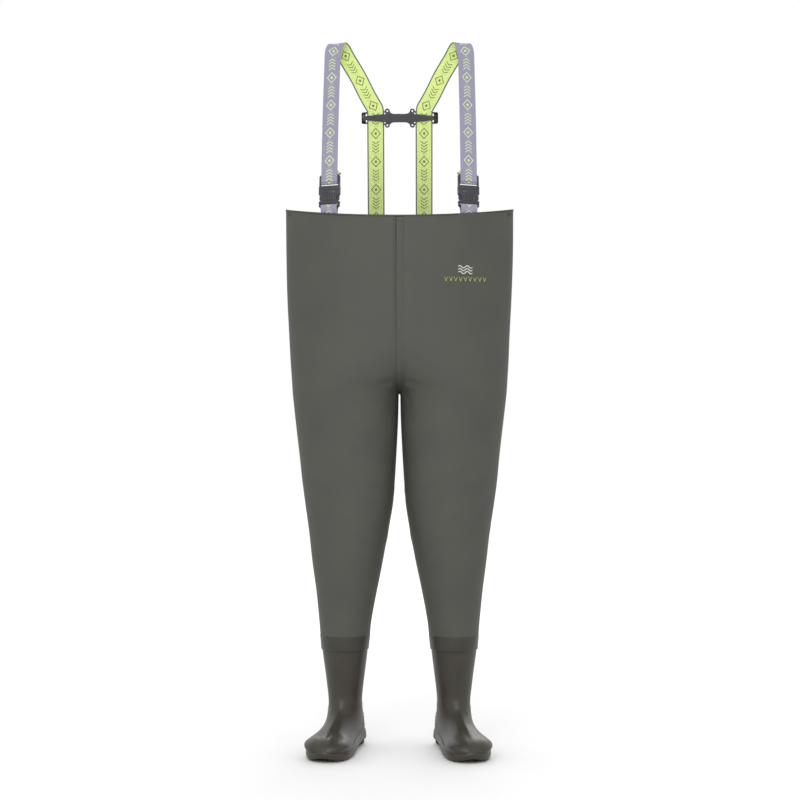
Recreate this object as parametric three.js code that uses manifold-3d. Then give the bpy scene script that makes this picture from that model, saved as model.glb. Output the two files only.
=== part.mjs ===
// Chest waders: two welded trouser halves with moulded boots, carried by an H-back pair of elastic braces.
//
// Millimetres, +Z up, the wearer faces -Y, and "left" is the wearer's left (+X). Heights are first written
// from the floor under the boots. The finished group is lowered so that the origin lies where a hanger or a
// pair of shoulders carries the two braces, midway between them.

import * as THREE from "three";
import { mergeVertices } from "three/addons/utils/BufferGeometryUtils.js";
import Module from "manifold-3d";

const wasm = await Module();
wasm.setup();

// ---------------------------------------------------------------- driving dimensions

const gap = 0.3; // between pieces that touch
const facetRoom = 0.5; // more room for a flat piece against the facets of a curved wall
const fabric = 2.4; // wall of a coated fabric panel

// One half of the torso: height, outer side, inner side (past the middle where negative), half depth, and
// side crease (1 is an ellipse, more is a sharper edge at the sides).
const rimHeight = 1247; // rim at the sides
const rimDip = 22; // the rim is lower at the middle of the front and back
const crotchHeight = 823;
const torsoShape = [
  [crotchHeight, 249, -2, 100, 1.0],
  [855, 251, -32, 104, 1.0],
  [900, 254, -105, 108, 1.0],
  [960, 257, -205, 110, 1.0],
  [1040, 261, -258, 110, 1.05],
  [1150, 264, -264, 108, 1.1],
  [rimHeight, 267, -267, 105, 1.15],
];

// Leg: height, outer side, inner side, half depth, side crease.
const legShape = [
  [225, 181, 73, 62, 1.0],
  [260, 184, 69, 62.5, 1.0],
  [293, 186.5, 65, 63, 1.0],
  [362, 193.5, 52.5, 67, 1.0],
  [432, 203, 38.5, 72, 1.0],
  [502, 211, 25.5, 77, 1.0],
  [572, 221, 14, 81, 1.0],
  [619, 227, 10, 84, 1.0],
  [689, 234, 6, 88, 1.0],
  [759, 242, 2.5, 93, 1.0],
  [crotchHeight, 249, 0.6, 99.5, 1.0],
];
const hipZone = [655, crotchHeight]; // leg fabric that bends at the hip
const kneeZone = [400, 580]; // leg fabric that bends at the knee
const legHem = 232; // lower edge of the leg, over the boot
const seamTape = { width: 20, thick: 1.2 }; // inside the seam from the front rim to the back rim
const gusset = { width: 46, thick: 1.5 }; // on top of the tape at the crotch

// Boots
const bootWall = 3;
const toeOut = THREE.MathUtils.degToRad(13.5);
const ankleX = (legShape[0][1] + legShape[0][2]) / 2; // each boot turns out about this upright line
const weldBand = { low: 228, high: 262, wall: 1.4 };
const shaft = { front: 58.4 - fabric, back: fabric - 59.4, half: 53.4 - fabric }; // its top, inside the leg
// Ring of the boot: front point (forward, height), back point (forward, height), half width, sideways shift
// towards the big toe, and corner power of the under half (2 = ellipse, more = flatter sole).
const bootRings = [
  [shaft.front, 262, shaft.back, 262, shaft.half, 0, 2],
  [shaft.front - 1, 231.5, shaft.back, 231.5, shaft.half - 1.8, 0, 2],
  [57, 229, -59, 229, 52.2, 0, 2],
  [51, 180, -56, 184, 46.5, 0, 2],
  [47, 146, -52, 148, 42, 0, 2],
  [45, 118, -51, 112, 38.5, 0, 2],
  [51, 99, -57, 80, 37.5, 0, 2.1],
  [63, 86, -65, 52, 38, 0, 2.4],
  [80, 77, -68, 32, 38, 0, 2.8],
  [100, 69, -52, 24, 38, 0, 3.2],
  [122, 62, -8, 22, 38.5, 0, 3.6],
  [142, 56, 42, 18, 43, 0, 4],
  [162, 52, 92, 14, 49, 1, 4],
  [181, 49, 134, 13, 51, 3, 4],
  [198, 43, 168, 14, 46, 6, 3.6],
  [209, 35, 192, 15.5, 35, 8, 3],
  [214, 26, 207, 18, 17, 9, 2.4],
];
// Outsole: forward place, half width, shift towards the big toe, top, underside of the plate.
const soleRings = [
  [-70, 14, 0, 23.6, 15],
  [-64, 28, 0, 23.6, 14],
  [-48, 37, 0, 23.6, 13.5],
  [-8, 38.5, 0, 21.6, 13.5],
  [42, 43.5, 0, 17, 10],
  [92, 50.5, 1, 13, 6],
  [134, 52.5, 3, 12, 5],
  [168, 48, 6, 13, 6],
  [192, 38, 8, 14.5, 8],
  [210, 21, 9, 17, 11],
  [216, 9, 9, 18.5, 13.5],
];
const heelLugs = { rows: [-56, -42, -28, -14], columns: [-22, 0, 22], length: 9, width: 17 };
const foreLugs = {
  rows: [62, 80, 98, 116, 134, 152, 170],
  columns: [-34, -12, 12, 34],
  length: 11,
  width: 17,
};

// Webbing of the braces
const webbing = { width: 40, thick: 1.6 };
const braceX = 160; // front brace, from the middle
const backX = 57; // back brace, from the middle
const crestHeight = 1638; // middle of the webbing at its highest point
const anchorReach = 52; // webbing sewn inside, below the rim
const rimWebHeight = rimHeight - 18; // where the webbing crosses the rim
const patch = { half: webbing.width / 2 + 6, top: rimWebHeight - 21, low: rimWebHeight - 63, wall: 1.5 };
const wallRadius = 400; // of the torso where webbing is sewn on
const bow = webbing.width ** 2 / (8 * wallRadius); // of the curved wall behind the flat webbing
const behindPatch = fabric + gap + facetRoom + patch.wall + gap + bow; // from the fabric's outside to webbing
const backTop = { height: crestHeight - 147, depth: 44.5 }; // where the back webbing becomes upright
const backWall = wallDepth(backX, rimWebHeight, behindPatch + webbing.thick / 2); // and where it is sewn on
backTop.slope = (backWall - 2.5 - backTop.depth) / (backTop.height - rimWebHeight - 14);
// Brace from the top of its straight front part, over the shoulder and down the back:
// sideways, backwards, height, and the tilt of its outer face: 0 forwards, 90 up, 180 backwards.
const bracePath = [
  [155, -24, crestHeight - 42, 8],
  [152, -15, crestHeight - 17, 35],
  [145, -2, crestHeight, 85],
  [135, 11, crestHeight - 8, 130],
  [123, 19, crestHeight - 31, 162],
  [98, 28.5, crestHeight - 72, 171],
  [78, 36, backTop.height + 36, 171],
  [63.5, 42, backTop.height + 11, 170],
  [58.4, backTop.depth - 0.6, backTop.height + 2, 169],
  ...[10, 41, 168].map((drop) => [backX, backTop.depth + backTop.slope * drop, backTop.height - drop, 169]),
];

// Quick-release buckle, along the front brace from the rim: every place is measured up the webbing.
const slotWidth = webbing.width + 2.6;
const buckle = {
  width: slotWidth + 7.4,
  thick: 10,
  slotWidth,
  barLow: 20,
  barHigh: 24.5,
  bodyLow: 29.5,
  mouth: 62,
  windowLow: 33.5,
  windowHigh: 48,
  cavity: slotWidth - 1,
  cavityThick: 6.4,
  baseHigh: 71,
  gripLow: 78,
  gripHigh: 82.5,
  topLow: 92.5,
  top: 97,
  frameThick: 5,
};
const arm = { top: 61.4, shoulder: 47.7, tip: 36, thick: 5 };
arm.outer = buckle.cavity / 2 - 2.6;
arm.inner = arm.outer - 5.2;
arm.pad = buckle.width / 2 - 1; // the thumb pad stands out through the window

// H-back connector
const connector = { height: backTop.height - 19, thick: 3.2, bar: 20, rail: 3.4, reach: 16.5, end: 13.5 };
connector.inner = webbing.width / 2 + 3.5;
connector.outer = webbing.width / 2 + 7.5; // more room there, because the webbing above leans outwards
const ear = { radius: 6, hole: 2.2, offset: connector.inner + 4 }; // four eyes beside the webbing

// ---------------------------------------------------------------- colours of the plain model

const paint = (color, roughness) => new THREE.MeshStandardMaterial({ color, roughness, metalness: 0 });
const materials = {
  fabric: paint("#5b5c56", 0.7),
  tape: paint("#4a4b46", 0.7),
  boot: paint("#4f4e45", 0.35),
  sole: paint("#34342f", 0.6),
  insole: paint("#77766d", 0.9),
  webbing: paint("#9a97ad", 0.8),
  thread: paint("#3a3a3e", 0.8),
  plastic: paint("#3c3c41", 0.4),
};

// ---------------------------------------------------------------- making solids

// A closed solid from points and triangles, turned so that its faces point out.
function solid(points, triangles) {
  let volume = 0;
  for (const [a, b, c] of triangles) {
    volume += points[a].dot(new THREE.Vector3().crossVectors(points[b], points[c]));
  }
  const faces = volume < 0 ? triangles.map(([a, b, c]) => [a, c, b]) : triangles;
  const geometry = new THREE.BufferGeometry();
  geometry.setAttribute("position", new THREE.Float32BufferAttribute(points.flatMap((p) => p.toArray()), 3));
  geometry.setIndex(faces.flat());
  return geometry;
}

// The walls of a grid of rows, as triangles; a closed grid joins its last column to its first.
function gridFaces(rows, columns, closed, at) {
  const faces = [];
  for (let i = 0; i < rows - 1; i++) {
    for (let j = 0; j < (closed ? columns : columns - 1); j++) {
      const k = (j + 1) % columns;
      faces.push([at(i, j), at(i, k), at(i + 1, k)], [at(i, j), at(i + 1, k), at(i + 1, j)]);
    }
  }
  return faces;
}

// A sheet with thickness: rows of outer points and rows of inner points, stitched along every free edge.
function sheet(outer, inner, closed) {
  const rows = outer.length;
  const columns = outer[0].length;
  const points = [...outer.flat(), ...inner.flat()];
  const out = (i, j) => i * columns + (j % columns);
  const inn = (i, j) => rows * columns + out(i, j);
  const faces = gridFaces(rows, columns, closed, out);
  for (const [a, b, c] of gridFaces(rows, columns, closed, inn)) faces.push([a, c, b]);
  const edge = (a, b, c, d) => faces.push([a, c, b], [b, c, d]);
  for (let j = 0; j < (closed ? columns : columns - 1); j++) {
    edge(out(0, j), out(0, j + 1), inn(0, j), inn(0, j + 1));
    edge(out(rows - 1, j + 1), out(rows - 1, j), inn(rows - 1, j + 1), inn(rows - 1, j));
  }
  for (let i = 0; i < rows - 1 && !closed; i++) {
    edge(out(i + 1, 0), out(i, 0), inn(i + 1, 0), inn(i, 0));
    edge(out(i, columns - 1), out(i + 1, columns - 1), inn(i, columns - 1), inn(i + 1, columns - 1));
  }
  return solid(points, faces);
}

// A loft through closed rings, with flat ends.
function loft(rings) {
  const columns = rings[0].length;
  const faces = gridFaces(rings.length, columns, true, (i, j) => i * columns + j);
  const last = (rings.length - 1) * columns;
  for (let j = 1; j < columns - 1; j++) {
    faces.push([0, j + 1, j], [last, last + j, last + j + 1]);
  }
  return solid(rings.flat(), faces);
}

// A cup: outer rings and inner rings from the open rim to the closed end.
function cup(outer, inner) {
  const columns = outer[0].length;
  const points = [...outer.flat(), ...inner.flat()];
  const start = outer.length * columns;
  const out = (i, j) => i * columns + j;
  const inn = (i, j) => start + i * columns + j;
  const faces = gridFaces(outer.length, columns, true, out);
  for (const [a, b, c] of gridFaces(inner.length, columns, true, inn)) faces.push([a, c, b]);
  for (let j = 0; j < columns; j++) {
    const k = (j + 1) % columns;
    faces.push([out(0, k), out(0, j), inn(0, j)], [out(0, k), inn(0, j), inn(0, k)]);
  }
  for (let j = 1; j < columns - 1; j++) {
    faces.push([out(outer.length - 1, 0), out(outer.length - 1, j), out(outer.length - 1, j + 1)]);
    faces.push([inn(inner.length - 1, 0), inn(inner.length - 1, j + 1), inn(inner.length - 1, j)]);
  }
  return solid(points, faces);
}

// A flat ribbon through stations { at, normal }, wide across its path and thin along its normal.
function ribbon(stations, width = webbing.width, thick = webbing.thick) {
  const rings = stations.map(({ at, normal }, i) => {
    const before = stations[Math.max(i - 1, 0)].at;
    const after = stations[Math.min(i + 1, stations.length - 1)].at;
    const along = new THREE.Vector3().subVectors(after, before).normalize();
    const across = new THREE.Vector3().crossVectors(along, normal).normalize();
    const face = new THREE.Vector3().crossVectors(across, along).normalize();
    const middle = (u) => at.clone().addScaledVector(across, (u * width) / 2);
    const corner = (u, v) => middle(u).addScaledVector(face, (v * thick) / 2);
    return [corner(-1, -1), corner(1, -1), corner(1, 1), corner(-1, 1)];
  });
  return loft(rings);
}

const vector = (x, y, z) => new THREE.Vector3(x, y, z);

function toManifold(geometry) {
  const bare = geometry.clone();
  bare.deleteAttribute("normal");
  bare.deleteAttribute("uv");
  const merged = mergeVertices(bare, 1e-4);
  return new wasm.Manifold(
    new wasm.Mesh({
      numProp: 3,
      vertProperties: new Float32Array(merged.attributes.position.array),
      triVerts: new Uint32Array(merged.index.array),
    }),
  );
}

function fromManifold(body) {
  const mesh = body.getMesh();
  const geometry = new THREE.BufferGeometry();
  geometry.setAttribute("position", new THREE.BufferAttribute(new Float32Array(mesh.vertProperties), 3));
  geometry.setIndex(Array.from(mesh.triVerts));
  return geometry;
}

const join = (...pieces) => fromManifold(pieces.reduce((sum, piece) => sum.add(piece)));

// A box as a manifold, from its low and high corners.
function block([x0, y0, z0], [x1, y1, z1]) {
  const box = new THREE.BoxGeometry(x1 - x0, y1 - y0, z1 - z0);
  return toManifold(box.translate((x0 + x1) / 2, (y0 + y1) / 2, (z0 + z1) / 2));
}

// A plate as a manifold: an outline in X and Y, between two heights.
function plate(outline, low, high) {
  const shape = new THREE.Shape(outline.map(([x, y]) => new THREE.Vector2(x, y)));
  const geometry = new THREE.ExtrudeGeometry(shape, { depth: high - low, bevelEnabled: false });
  return toManifold(geometry.translate(0, 0, low));
}

// ---------------------------------------------------------------- the shape of the garment

// Smooth value of every column of a table at height z (a cubic through its rows).
function profile(table, z) {
  const n = table.length;
  let i = 0;
  while (i < n - 2 && z > table[i + 1][0]) i++;
  const [a, b] = [table[i], table[i + 1]];
  const before = table[Math.max(i - 1, 0)];
  const after = table[Math.min(i + 2, n - 1)];
  const span = b[0] - a[0];
  const t = Math.min(Math.max((z - a[0]) / span, 0), 1);
  return a.map((value, column) => {
    const slopeA = ((b[column] - before[column]) / (b[0] - before[0])) * span;
    const slopeB = ((after[column] - value) / (after[0] - a[0])) * span;
    const t2 = t * t;
    const t3 = t2 * t;
    const ends = value * (2 * t3 - 3 * t2 + 1) + b[column] * (3 * t2 - 2 * t3);
    return ends + slopeA * (t3 - 2 * t2 + t) + slopeB * (t3 - t2);
  });
}

// A slice of one half of the garment at height z: its centre, half width, half depth and crease power.
function slice(table, z, inset) {
  const [, outer, inner, depth, crease] = profile(table, z);
  return { centre: (outer + inner) / 2, half: (outer - inner) / 2 - inset, depth: depth - inset, crease };
}

// A point of the slice: turn 0 is the outer side, negative turns run to the front, positive ones to the back.
function slicePoint({ centre, half, depth, crease }, turn, z) {
  const y = Math.sign(turn) * depth * Math.abs(Math.sin(turn)) ** crease;
  return vector(centre + half * Math.cos(turn), y, z);
}

// Height of the rim at u = 0 (middle of the front), 0.5 (side) and 1 (middle of the back).
const rimAt = (u) => rimHeight - rimDip * Math.abs(Math.cos(Math.PI * u)) ** 1.5;

// A point of half the torso: u runs round it from front seam to back seam, v up it.
function torsoPoint(u, v, inset, base = crotchHeight, lift = 0) {
  const z = base + (rimAt(u) + lift - base) * v;
  const cut = slice(torsoShape, Math.min(z, rimHeight), inset);
  const end = Math.acos(Math.min(Math.max((gap / 2 - cut.centre) / cut.half, -1), 1));
  return slicePoint(cut, end * (2 * u - 1), z);
}

// Distance of the torso wall from the middle plane Y = 0, at x and z.
function wallDepth(x, z, inset) {
  const cut = slice(torsoShape, z, inset);
  const share = (x - cut.centre) / cut.half;
  return cut.depth * (1 - share * share) ** (cut.crease / 2);
}

const across = (side) => (p) => vector(p.x * side, p.y, p.z);
const steps = (n) => Array.from({ length: n + 1 }, (_, i) => i / n);

function torsoPanel(side) {
  const rows = steps(10).map((t) => t ** 1.6); // closer together near the crotch
  const grid = (inset) => rows.map((v) => steps(20).map((u) => across(side)(torsoPoint(u, v, inset))));
  return sheet(grid(0), grid(fabric), false);
}

// A tube of leg fabric between two heights.
function legTube(side, low, high, rows, inset = 0, wall = fabric) {
  const columns = 18;
  const grid = (depth) =>
    steps(rows).map((v) => {
      const z = low + (high - low) * v;
      const cut = slice(legShape, z, depth);
      const turns = Array.from({ length: columns }, (_, j) => (2 * Math.PI * (j + 0.5)) / columns - Math.PI);
      return turns.map((turn) => across(side)(slicePoint(cut, turn, z)));
    });
  return sheet(grid(inset), grid(inset + wall), true);
}

// Place on the line across the crotch, inside the garment, some way above it.
function crotchStation(y, above) {
  const z = crotchHeight + 11 + 0.004 * y ** 2 + above;
  return { at: vector(0, y, z), normal: vector(0, 0.008 * y, -1) };
}

// Tape inside the seam that runs from the front rim, under the crotch, to the back rim.
function riseTape() {
  const top = rimHeight - rimDip - 13;
  const curved = crotchHeight + 97; // the wall curves in below this
  const straight = steps(4).map((t) => top - (top - curved) * t);
  const heights = [...straight, crotchHeight + 67, crotchHeight + 45, crotchHeight + 27];
  const curl = (z) => Math.max(0, 0.015 * (curved - z)); // more room where the wall curves in
  const inset = (z) => fabric + gap + 2 * facetRoom + seamTape.thick / 2 + curl(z);
  const front = heights.map((z) => ({
    at: vector(0, -wallDepth(0, z, inset(z)), z),
    normal: vector(0, -1, 0),
  }));
  const under = [-40, -20, 0, 20, 40].map((y) => crotchStation(y, 0));
  const back = front.toReversed().map(({ at }) => ({ at: vector(0, -at.y, at.z), normal: vector(0, 1, 0) }));
  return ribbon([...front, ...under, ...back], seamTape.width, seamTape.thick);
}

// Reinforcement on top of the tape at the crotch.
function crotchGusset() {
  const above = seamTape.thick / 2 + gap + gusset.thick / 2 + 0.3;
  return ribbon([-40, -20, 0, 20, 40].map((y) => crotchStation(y, above)), gusset.width, gusset.thick);
}

// Binding that caps the rim all the way round.
function rimBinding() {
  const [overlap, lip, cap] = [7, 0.6, 3.2];
  const columns = 20;
  const ring = (inset, lift) => {
    const rim = steps(columns).map((u) => torsoPoint(u, 1, inset, crotchHeight, lift));
    const half = (side) => rim.map(across(side));
    return [...half(1), ...half(-1).toReversed()];
  };
  const [outside, inside] = [-gap - lip, fabric + gap + lip];
  const rings = [
    ring(outside, -overlap),
    ring(outside, cap),
    ring(inside, cap),
    ring(inside, -overlap),
    ring(fabric + gap, -overlap),
    ring(fabric + gap, gap),
    ring(-gap, gap),
    ring(-gap, -overlap),
  ];
  const count = rings[0].length;
  return solid(rings.flat(), gridFaces(rings.length + 1, count, true, (i, j) => (i % rings.length) * count + j));
}

// ---------------------------------------------------------------- boots

// From the boot's own frame (sideways towards the big toe, forward, up) to the garment.
function bootToWorld(side) {
  return ([toBigToe, forward, z]) => {
    const x = -toBigToe;
    const [c, s] = [Math.cos(toeOut), Math.sin(toeOut)];
    return vector(side * (ankleX + x * c + forward * s), x * s - forward * c, z);
  };
}

function bootRing([frontF, frontZ, backF, backZ, halfWidth, shift, flat], inset, place) {
  const columns = 20;
  const [midF, midZ] = [(frontF + backF) / 2, (frontZ + backZ) / 2];
  const halfHeight = Math.hypot(frontF - backF, frontZ - backZ) / 2;
  const [dirF, dirZ] = [(frontF - backF) / 2 / halfHeight, (frontZ - backZ) / 2 / halfHeight];
  return Array.from({ length: columns }, (_, j) => {
    const angle = (2 * Math.PI * j) / columns;
    const power = 2 / (Math.sin(angle) < 0 ? flat : 2);
    const u = Math.sign(Math.cos(angle)) * Math.abs(Math.cos(angle)) ** power * (halfWidth - inset);
    const v = Math.sign(Math.sin(angle)) * Math.abs(Math.sin(angle)) ** power * (halfHeight - inset);
    return place([shift + u, midF + dirF * v, midZ + dirZ * v]);
  });
}

function bootUpper(side) {
  const place = bootToWorld(side);
  const outer = bootRings.map((ring) => bootRing(ring, 0, place));
  const inner = bootRings.slice(0, -1).map((ring) => bootRing(ring, bootWall, place));
  return cup(outer, inner);
}

function outsole(side) {
  const place = bootToWorld(side);
  const rings = soleRings.map(([forward, half, shift, top, low]) =>
    [
      [-half, top], [-half * 0.5, top], [half * 0.5, top], [half, top],
      [half, low], [half * 0.5, low], [-half * 0.5, low], [-half, low],
    ].map(([u, z]) => place([shift + u, forward, z])),
  );
  let sole = toManifold(loft(rings));
  for (const { rows, columns, length, width } of [heelLugs, foreLugs]) {
    for (const row of rows) {
      const [, half, shift, , low] = profile(soleRings, row);
      for (const column of columns) {
        const reach = Math.min(width / 2, half - 2 - Math.abs(column));
        if (reach < 3) continue;
        const corners = [[-1, -1], [1, -1], [1, 1], [-1, 1]];
        const ring = (z) =>
          corners.map(([a, b]) => place([shift + column + a * reach, row + (b * length) / 2, z]));
        sole = sole.add(toManifold(loft([ring(0), ring(low + 2)])));
      }
    }
  }
  return fromManifold(sole);
}

function insole(side) {
  const place = bootToWorld(side);
  const hollow = bootRings.slice(0, -1).map((ring) => bootRing(ring, bootWall + gap, place));
  const tops = [[-80, 36], [0, 31], [60, 25.5], [100, 22.5], [194, 22.5]];
  const bed = tops.map(([forward, z]) => {
    const corners = [[-80, 0], [80, 0], [80, z], [-80, z]];
    return corners.map(([u, v]) => place([u, forward, v]));
  });
  return fromManifold(toManifold(loft(hollow)).intersect(toManifold(loft(bed))));
}

// ---------------------------------------------------------------- braces

// The line of the front brace, in which the buckle and its webbing lie: origin at the rim, T up the
// webbing, N out of its face, W across it.
function frontLine(side) {
  const stack = behindPatch + webbing.thick; // to the middle of the doubled webbing
  const wall = (offset) => wallDepth(braceX + offset, rimWebHeight, fabric);
  const yaw = Math.atan((wall(-20) - wall(20)) / 40);
  const origin = vector(side * braceX, -wallDepth(braceX, rimWebHeight, stack), rimWebHeight);
  const [x, y, z] = bracePath[0];
  const top = vector(side * x, y, z);
  const T = new THREE.Vector3().subVectors(top, origin).normalize();
  const outward = vector(side * Math.sin(yaw), -Math.cos(yaw), 0);
  const W = new THREE.Vector3().crossVectors(T, outward).normalize();
  const N = new THREE.Vector3().crossVectors(W, T).normalize();
  const length = top.distanceTo(origin);
  const at = (s, n = 0, w = 0) => {
    const place = origin.clone().addScaledVector(T, s);
    return place.addScaledVector(N, n).addScaledVector(W, w);
  };
  return { origin, T, N, W, at, length, outward, top };
}

// Lower webbing: sewn inside the front, looped round the bar of the fixed half of the buckle.
function anchorStrap(side) {
  const { at, N, T, outward, origin } = frontLine(side);
  const layer = webbing.thick / 2 + 0.3;
  const turn = (buckle.barLow + buckle.barHigh) / 2;
  const barCorner = Math.hypot(buckle.frameThick, buckle.barHigh - buckle.barLow) / 2;
  const radius = barCorner + gap + 0.2 + webbing.thick / 2;
  const inside = (drop, n) => origin.clone().addScaledVector(outward, n).add(vector(0, 0, -drop));
  const front = [
    { at: inside(anchorReach, layer), normal: outward },
    { at: inside(4, layer), normal: outward },
    { at: at(8, layer + 0.6), normal: N },
    { at: at(turn - 3, radius), normal: N },
  ];
  const over = [30, 60, 90, 120, 150].map((degrees) => {
    const a = THREE.MathUtils.degToRad(degrees);
    const normal = N.clone().multiplyScalar(Math.cos(a)).addScaledVector(T, Math.sin(a));
    return { at: at(turn + radius * Math.sin(a), radius * Math.cos(a)), normal };
  });
  const back = front.toReversed().map(({ normal }, i) => {
    const places = [at(turn - 3, -radius), at(8, -layer - 0.6), inside(4, -layer), inside(anchorReach, -layer)];
    return { at: places[i], normal: normal.clone().negate() };
  });
  return ribbon([...front, ...over, ...back]);
}

const stretchLow = (buckle.gripLow + buckle.gripHigh) / 2 - 0.25; // where the elastic webbing starts
const overBars = buckle.frameThick / 2 + 0.7 + webbing.thick / 2;

function frontStrap(side) {
  const { at, N, length } = frontLine(side);
  const stations = steps(6).map((t) => {
    const s = stretchLow + (length - gap - stretchLow) * t;
    return { at: at(s, overBars * (1 - t)), normal: N };
  });
  return ribbon(stations);
}

// The webbing's end: round the grip bar, up behind the adjuster, with its tip leaning to the middle.
function strapTail(side) {
  const { at, N, T } = frontLine(side);
  const turn = (buckle.gripLow + buckle.gripHigh) / 2 - 1;
  const radius = overBars;
  const round = steps(6).map((t) => {
    const a = Math.PI * t;
    const normal = N.clone().multiplyScalar(Math.cos(a)).addScaledVector(T, -Math.sin(a));
    return { at: at(turn - radius * Math.sin(a), radius * Math.cos(a)), normal };
  });
  const back = N.clone().negate();
  const up = [
    { at: at(90, -radius), normal: back },
    { at: at(buckle.top + 1, -radius - 0.3), normal: back },
    { at: at(buckle.top + 9, -radius - 1.5, -side * 3), normal: back },
    { at: at(buckle.top + 17, -radius - 3.5, -side * 9), normal: back },
  ];
  return ribbon([...round, ...up]);
}

// The brace over the shoulder and down the back, sewn inside the back of the torso.
function shoulderStrap(side) {
  const { N, T } = frontLine(side);
  const path = bracePath.map(([x, y, z, tilt]) => {
    const a = THREE.MathUtils.degToRad(tilt);
    return { at: vector(side * x, y, z), normal: vector(0, -Math.cos(a), Math.sin(a)) };
  });
  path[0].normal = N;
  path.splice(1, 0, { at: path[0].at.clone().addScaledVector(T, 4), normal: N });
  const backwards = vector(side * 0.08, 1, 0).normalize();
  path.push({ at: vector(side * backX, backWall - 2.5, rimWebHeight + 14), normal: backwards });
  path.push({ at: vector(side * backX, backWall, rimWebHeight - 8), normal: backwards });
  path.push({ at: vector(side * backX, backWall, rimWebHeight - anchorReach), normal: backwards });
  return ribbon(path);
}

// Reinforcement welded inside the wall, where webbing is sewn on: back is +1 or -1.
function anchorPatch(side, x, back) {
  const grid = (inset) =>
    steps(2).map((v) =>
      steps(4).map((u) => {
        const place = x + patch.half * (2 * u - 1);
        const z = patch.low + (patch.top - patch.low) * v;
        return vector(side * place, back * wallDepth(place, z, inset), z);
      }),
    );
  const clear = fabric + gap + facetRoom;
  return sheet(grid(clear), grid(clear + patch.wall), false);
}

// A sewn box of thread over the end of the webbing.
function stitchBox(centre, outward) {
  const frame = new THREE.Matrix4().makeBasis(
    new THREE.Vector3().crossVectors(outward, vector(0, 0, 1)).normalize(),
    outward,
    vector(0, 0, 1),
  );
  const half = webbing.width / 2 - 4;
  const rows = [-36, -12].map((z) => block([-half - 1, -0.45, z - 0.8], [half + 1, 0.45, z + 0.8]));
  const columns = [-half, half].map((x) => block([x - 0.8, -0.45, -36], [x + 0.8, 0.45, -12]));
  return join(...rows, ...columns).applyMatrix4(frame).translate(centre.x, centre.y, centre.z);
}

// ---------------------------------------------------------------- buckle and connector

// Outline points of a shape that is the same on both sides of X = 0, from its right-hand points.
const mirrored = (right) => [...right, ...right.toReversed().map(([x, y]) => [-x, y])];

function femaleBuckle() {
  const half = buckle.width / 2;
  const waist = half - 6.5;
  const outline = mirrored([
    [half - 2, buckle.bodyLow], [half, buckle.bodyLow + 2], [half - 0.5, 34], [waist, 38], [waist - 0.6, 42],
    [waist, 45.5], [half - 0.8, 49.5], [half, 52], [half, buckle.mouth],
  ]);
  const slot = buckle.slotWidth / 2;
  const side = buckle.cavity / 2;
  const loop = mirrored([[half - 3, buckle.barLow], [half, buckle.barLow + 3], [half, 33]]);
  const cavityLow = buckle.windowLow;
  const t = buckle.cavityThick / 2;
  const window = (from, to) => block([from, buckle.windowLow, -t], [to, buckle.windowHigh, t]);
  const body = plate(outline, -buckle.thick / 2, buckle.thick / 2)
    .subtract(block([-side, cavityLow, -t], [side, buckle.mouth + 1, t]))
    .subtract(window(side - 1, half + 2))
    .subtract(window(-half - 2, 1 - side));
  const bar = plate(loop, -buckle.frameThick / 2, buckle.frameThick / 2)
    .subtract(block([-slot, buckle.barHigh, -6], [slot, buckle.bodyLow, 6]))
    .subtract(block([-side, cavityLow - 2, -t], [side, 40, t]));
  return join(body, bar);
}

function maleBuckle() {
  const half = buckle.width / 2;
  const base = buckle.mouth + gap;
  const slot = buckle.slotWidth / 2;
  const frameHalf = buckle.frameThick / 2;
  const baseOutline = mirrored([[half, base], [half, buckle.baseHigh - 2], [half - 2, buckle.baseHigh]]);
  const frameOutline = mirrored([[half, base + 2], [half, buckle.top - 3], [half - 3, buckle.top]]);
  const guide = mirrored([[3.2, arm.tip], [4.2, arm.tip + 4], [4.2, base + 1]]);
  const frame = plate(frameOutline, -frameHalf, frameHalf)
    .subtract(block([-slot, buckle.baseHigh, -6], [slot, buckle.gripLow, 6]))
    .subtract(block([-slot, buckle.gripHigh, -6], [slot, buckle.topLow, 6]));
  return join(plate(baseOutline, -buckle.thick / 2, buckle.thick / 2), frame, plate(guide, -1.5, 1.5));
}

// One sprung arm of the plug half, on the side given by hand (+1 or -1).
function releaseArm(hand) {
  const outline = [
    [arm.inner, arm.top], [arm.inner, 44], [arm.inner + 1.5, arm.tip + 1], [arm.inner + 4, arm.tip],
    [arm.pad - 3, arm.tip], [arm.pad, arm.tip + 3.5], [arm.pad, arm.shoulder], [arm.outer + 0.6, arm.shoulder],
    [arm.outer, arm.shoulder + 3], [arm.outer, arm.top],
  ].map(([w, s]) => [hand * w, s]);
  return fromManifold(plate(hand > 0 ? outline.toReversed() : outline, -arm.thick / 2, arm.thick / 2));
}

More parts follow.
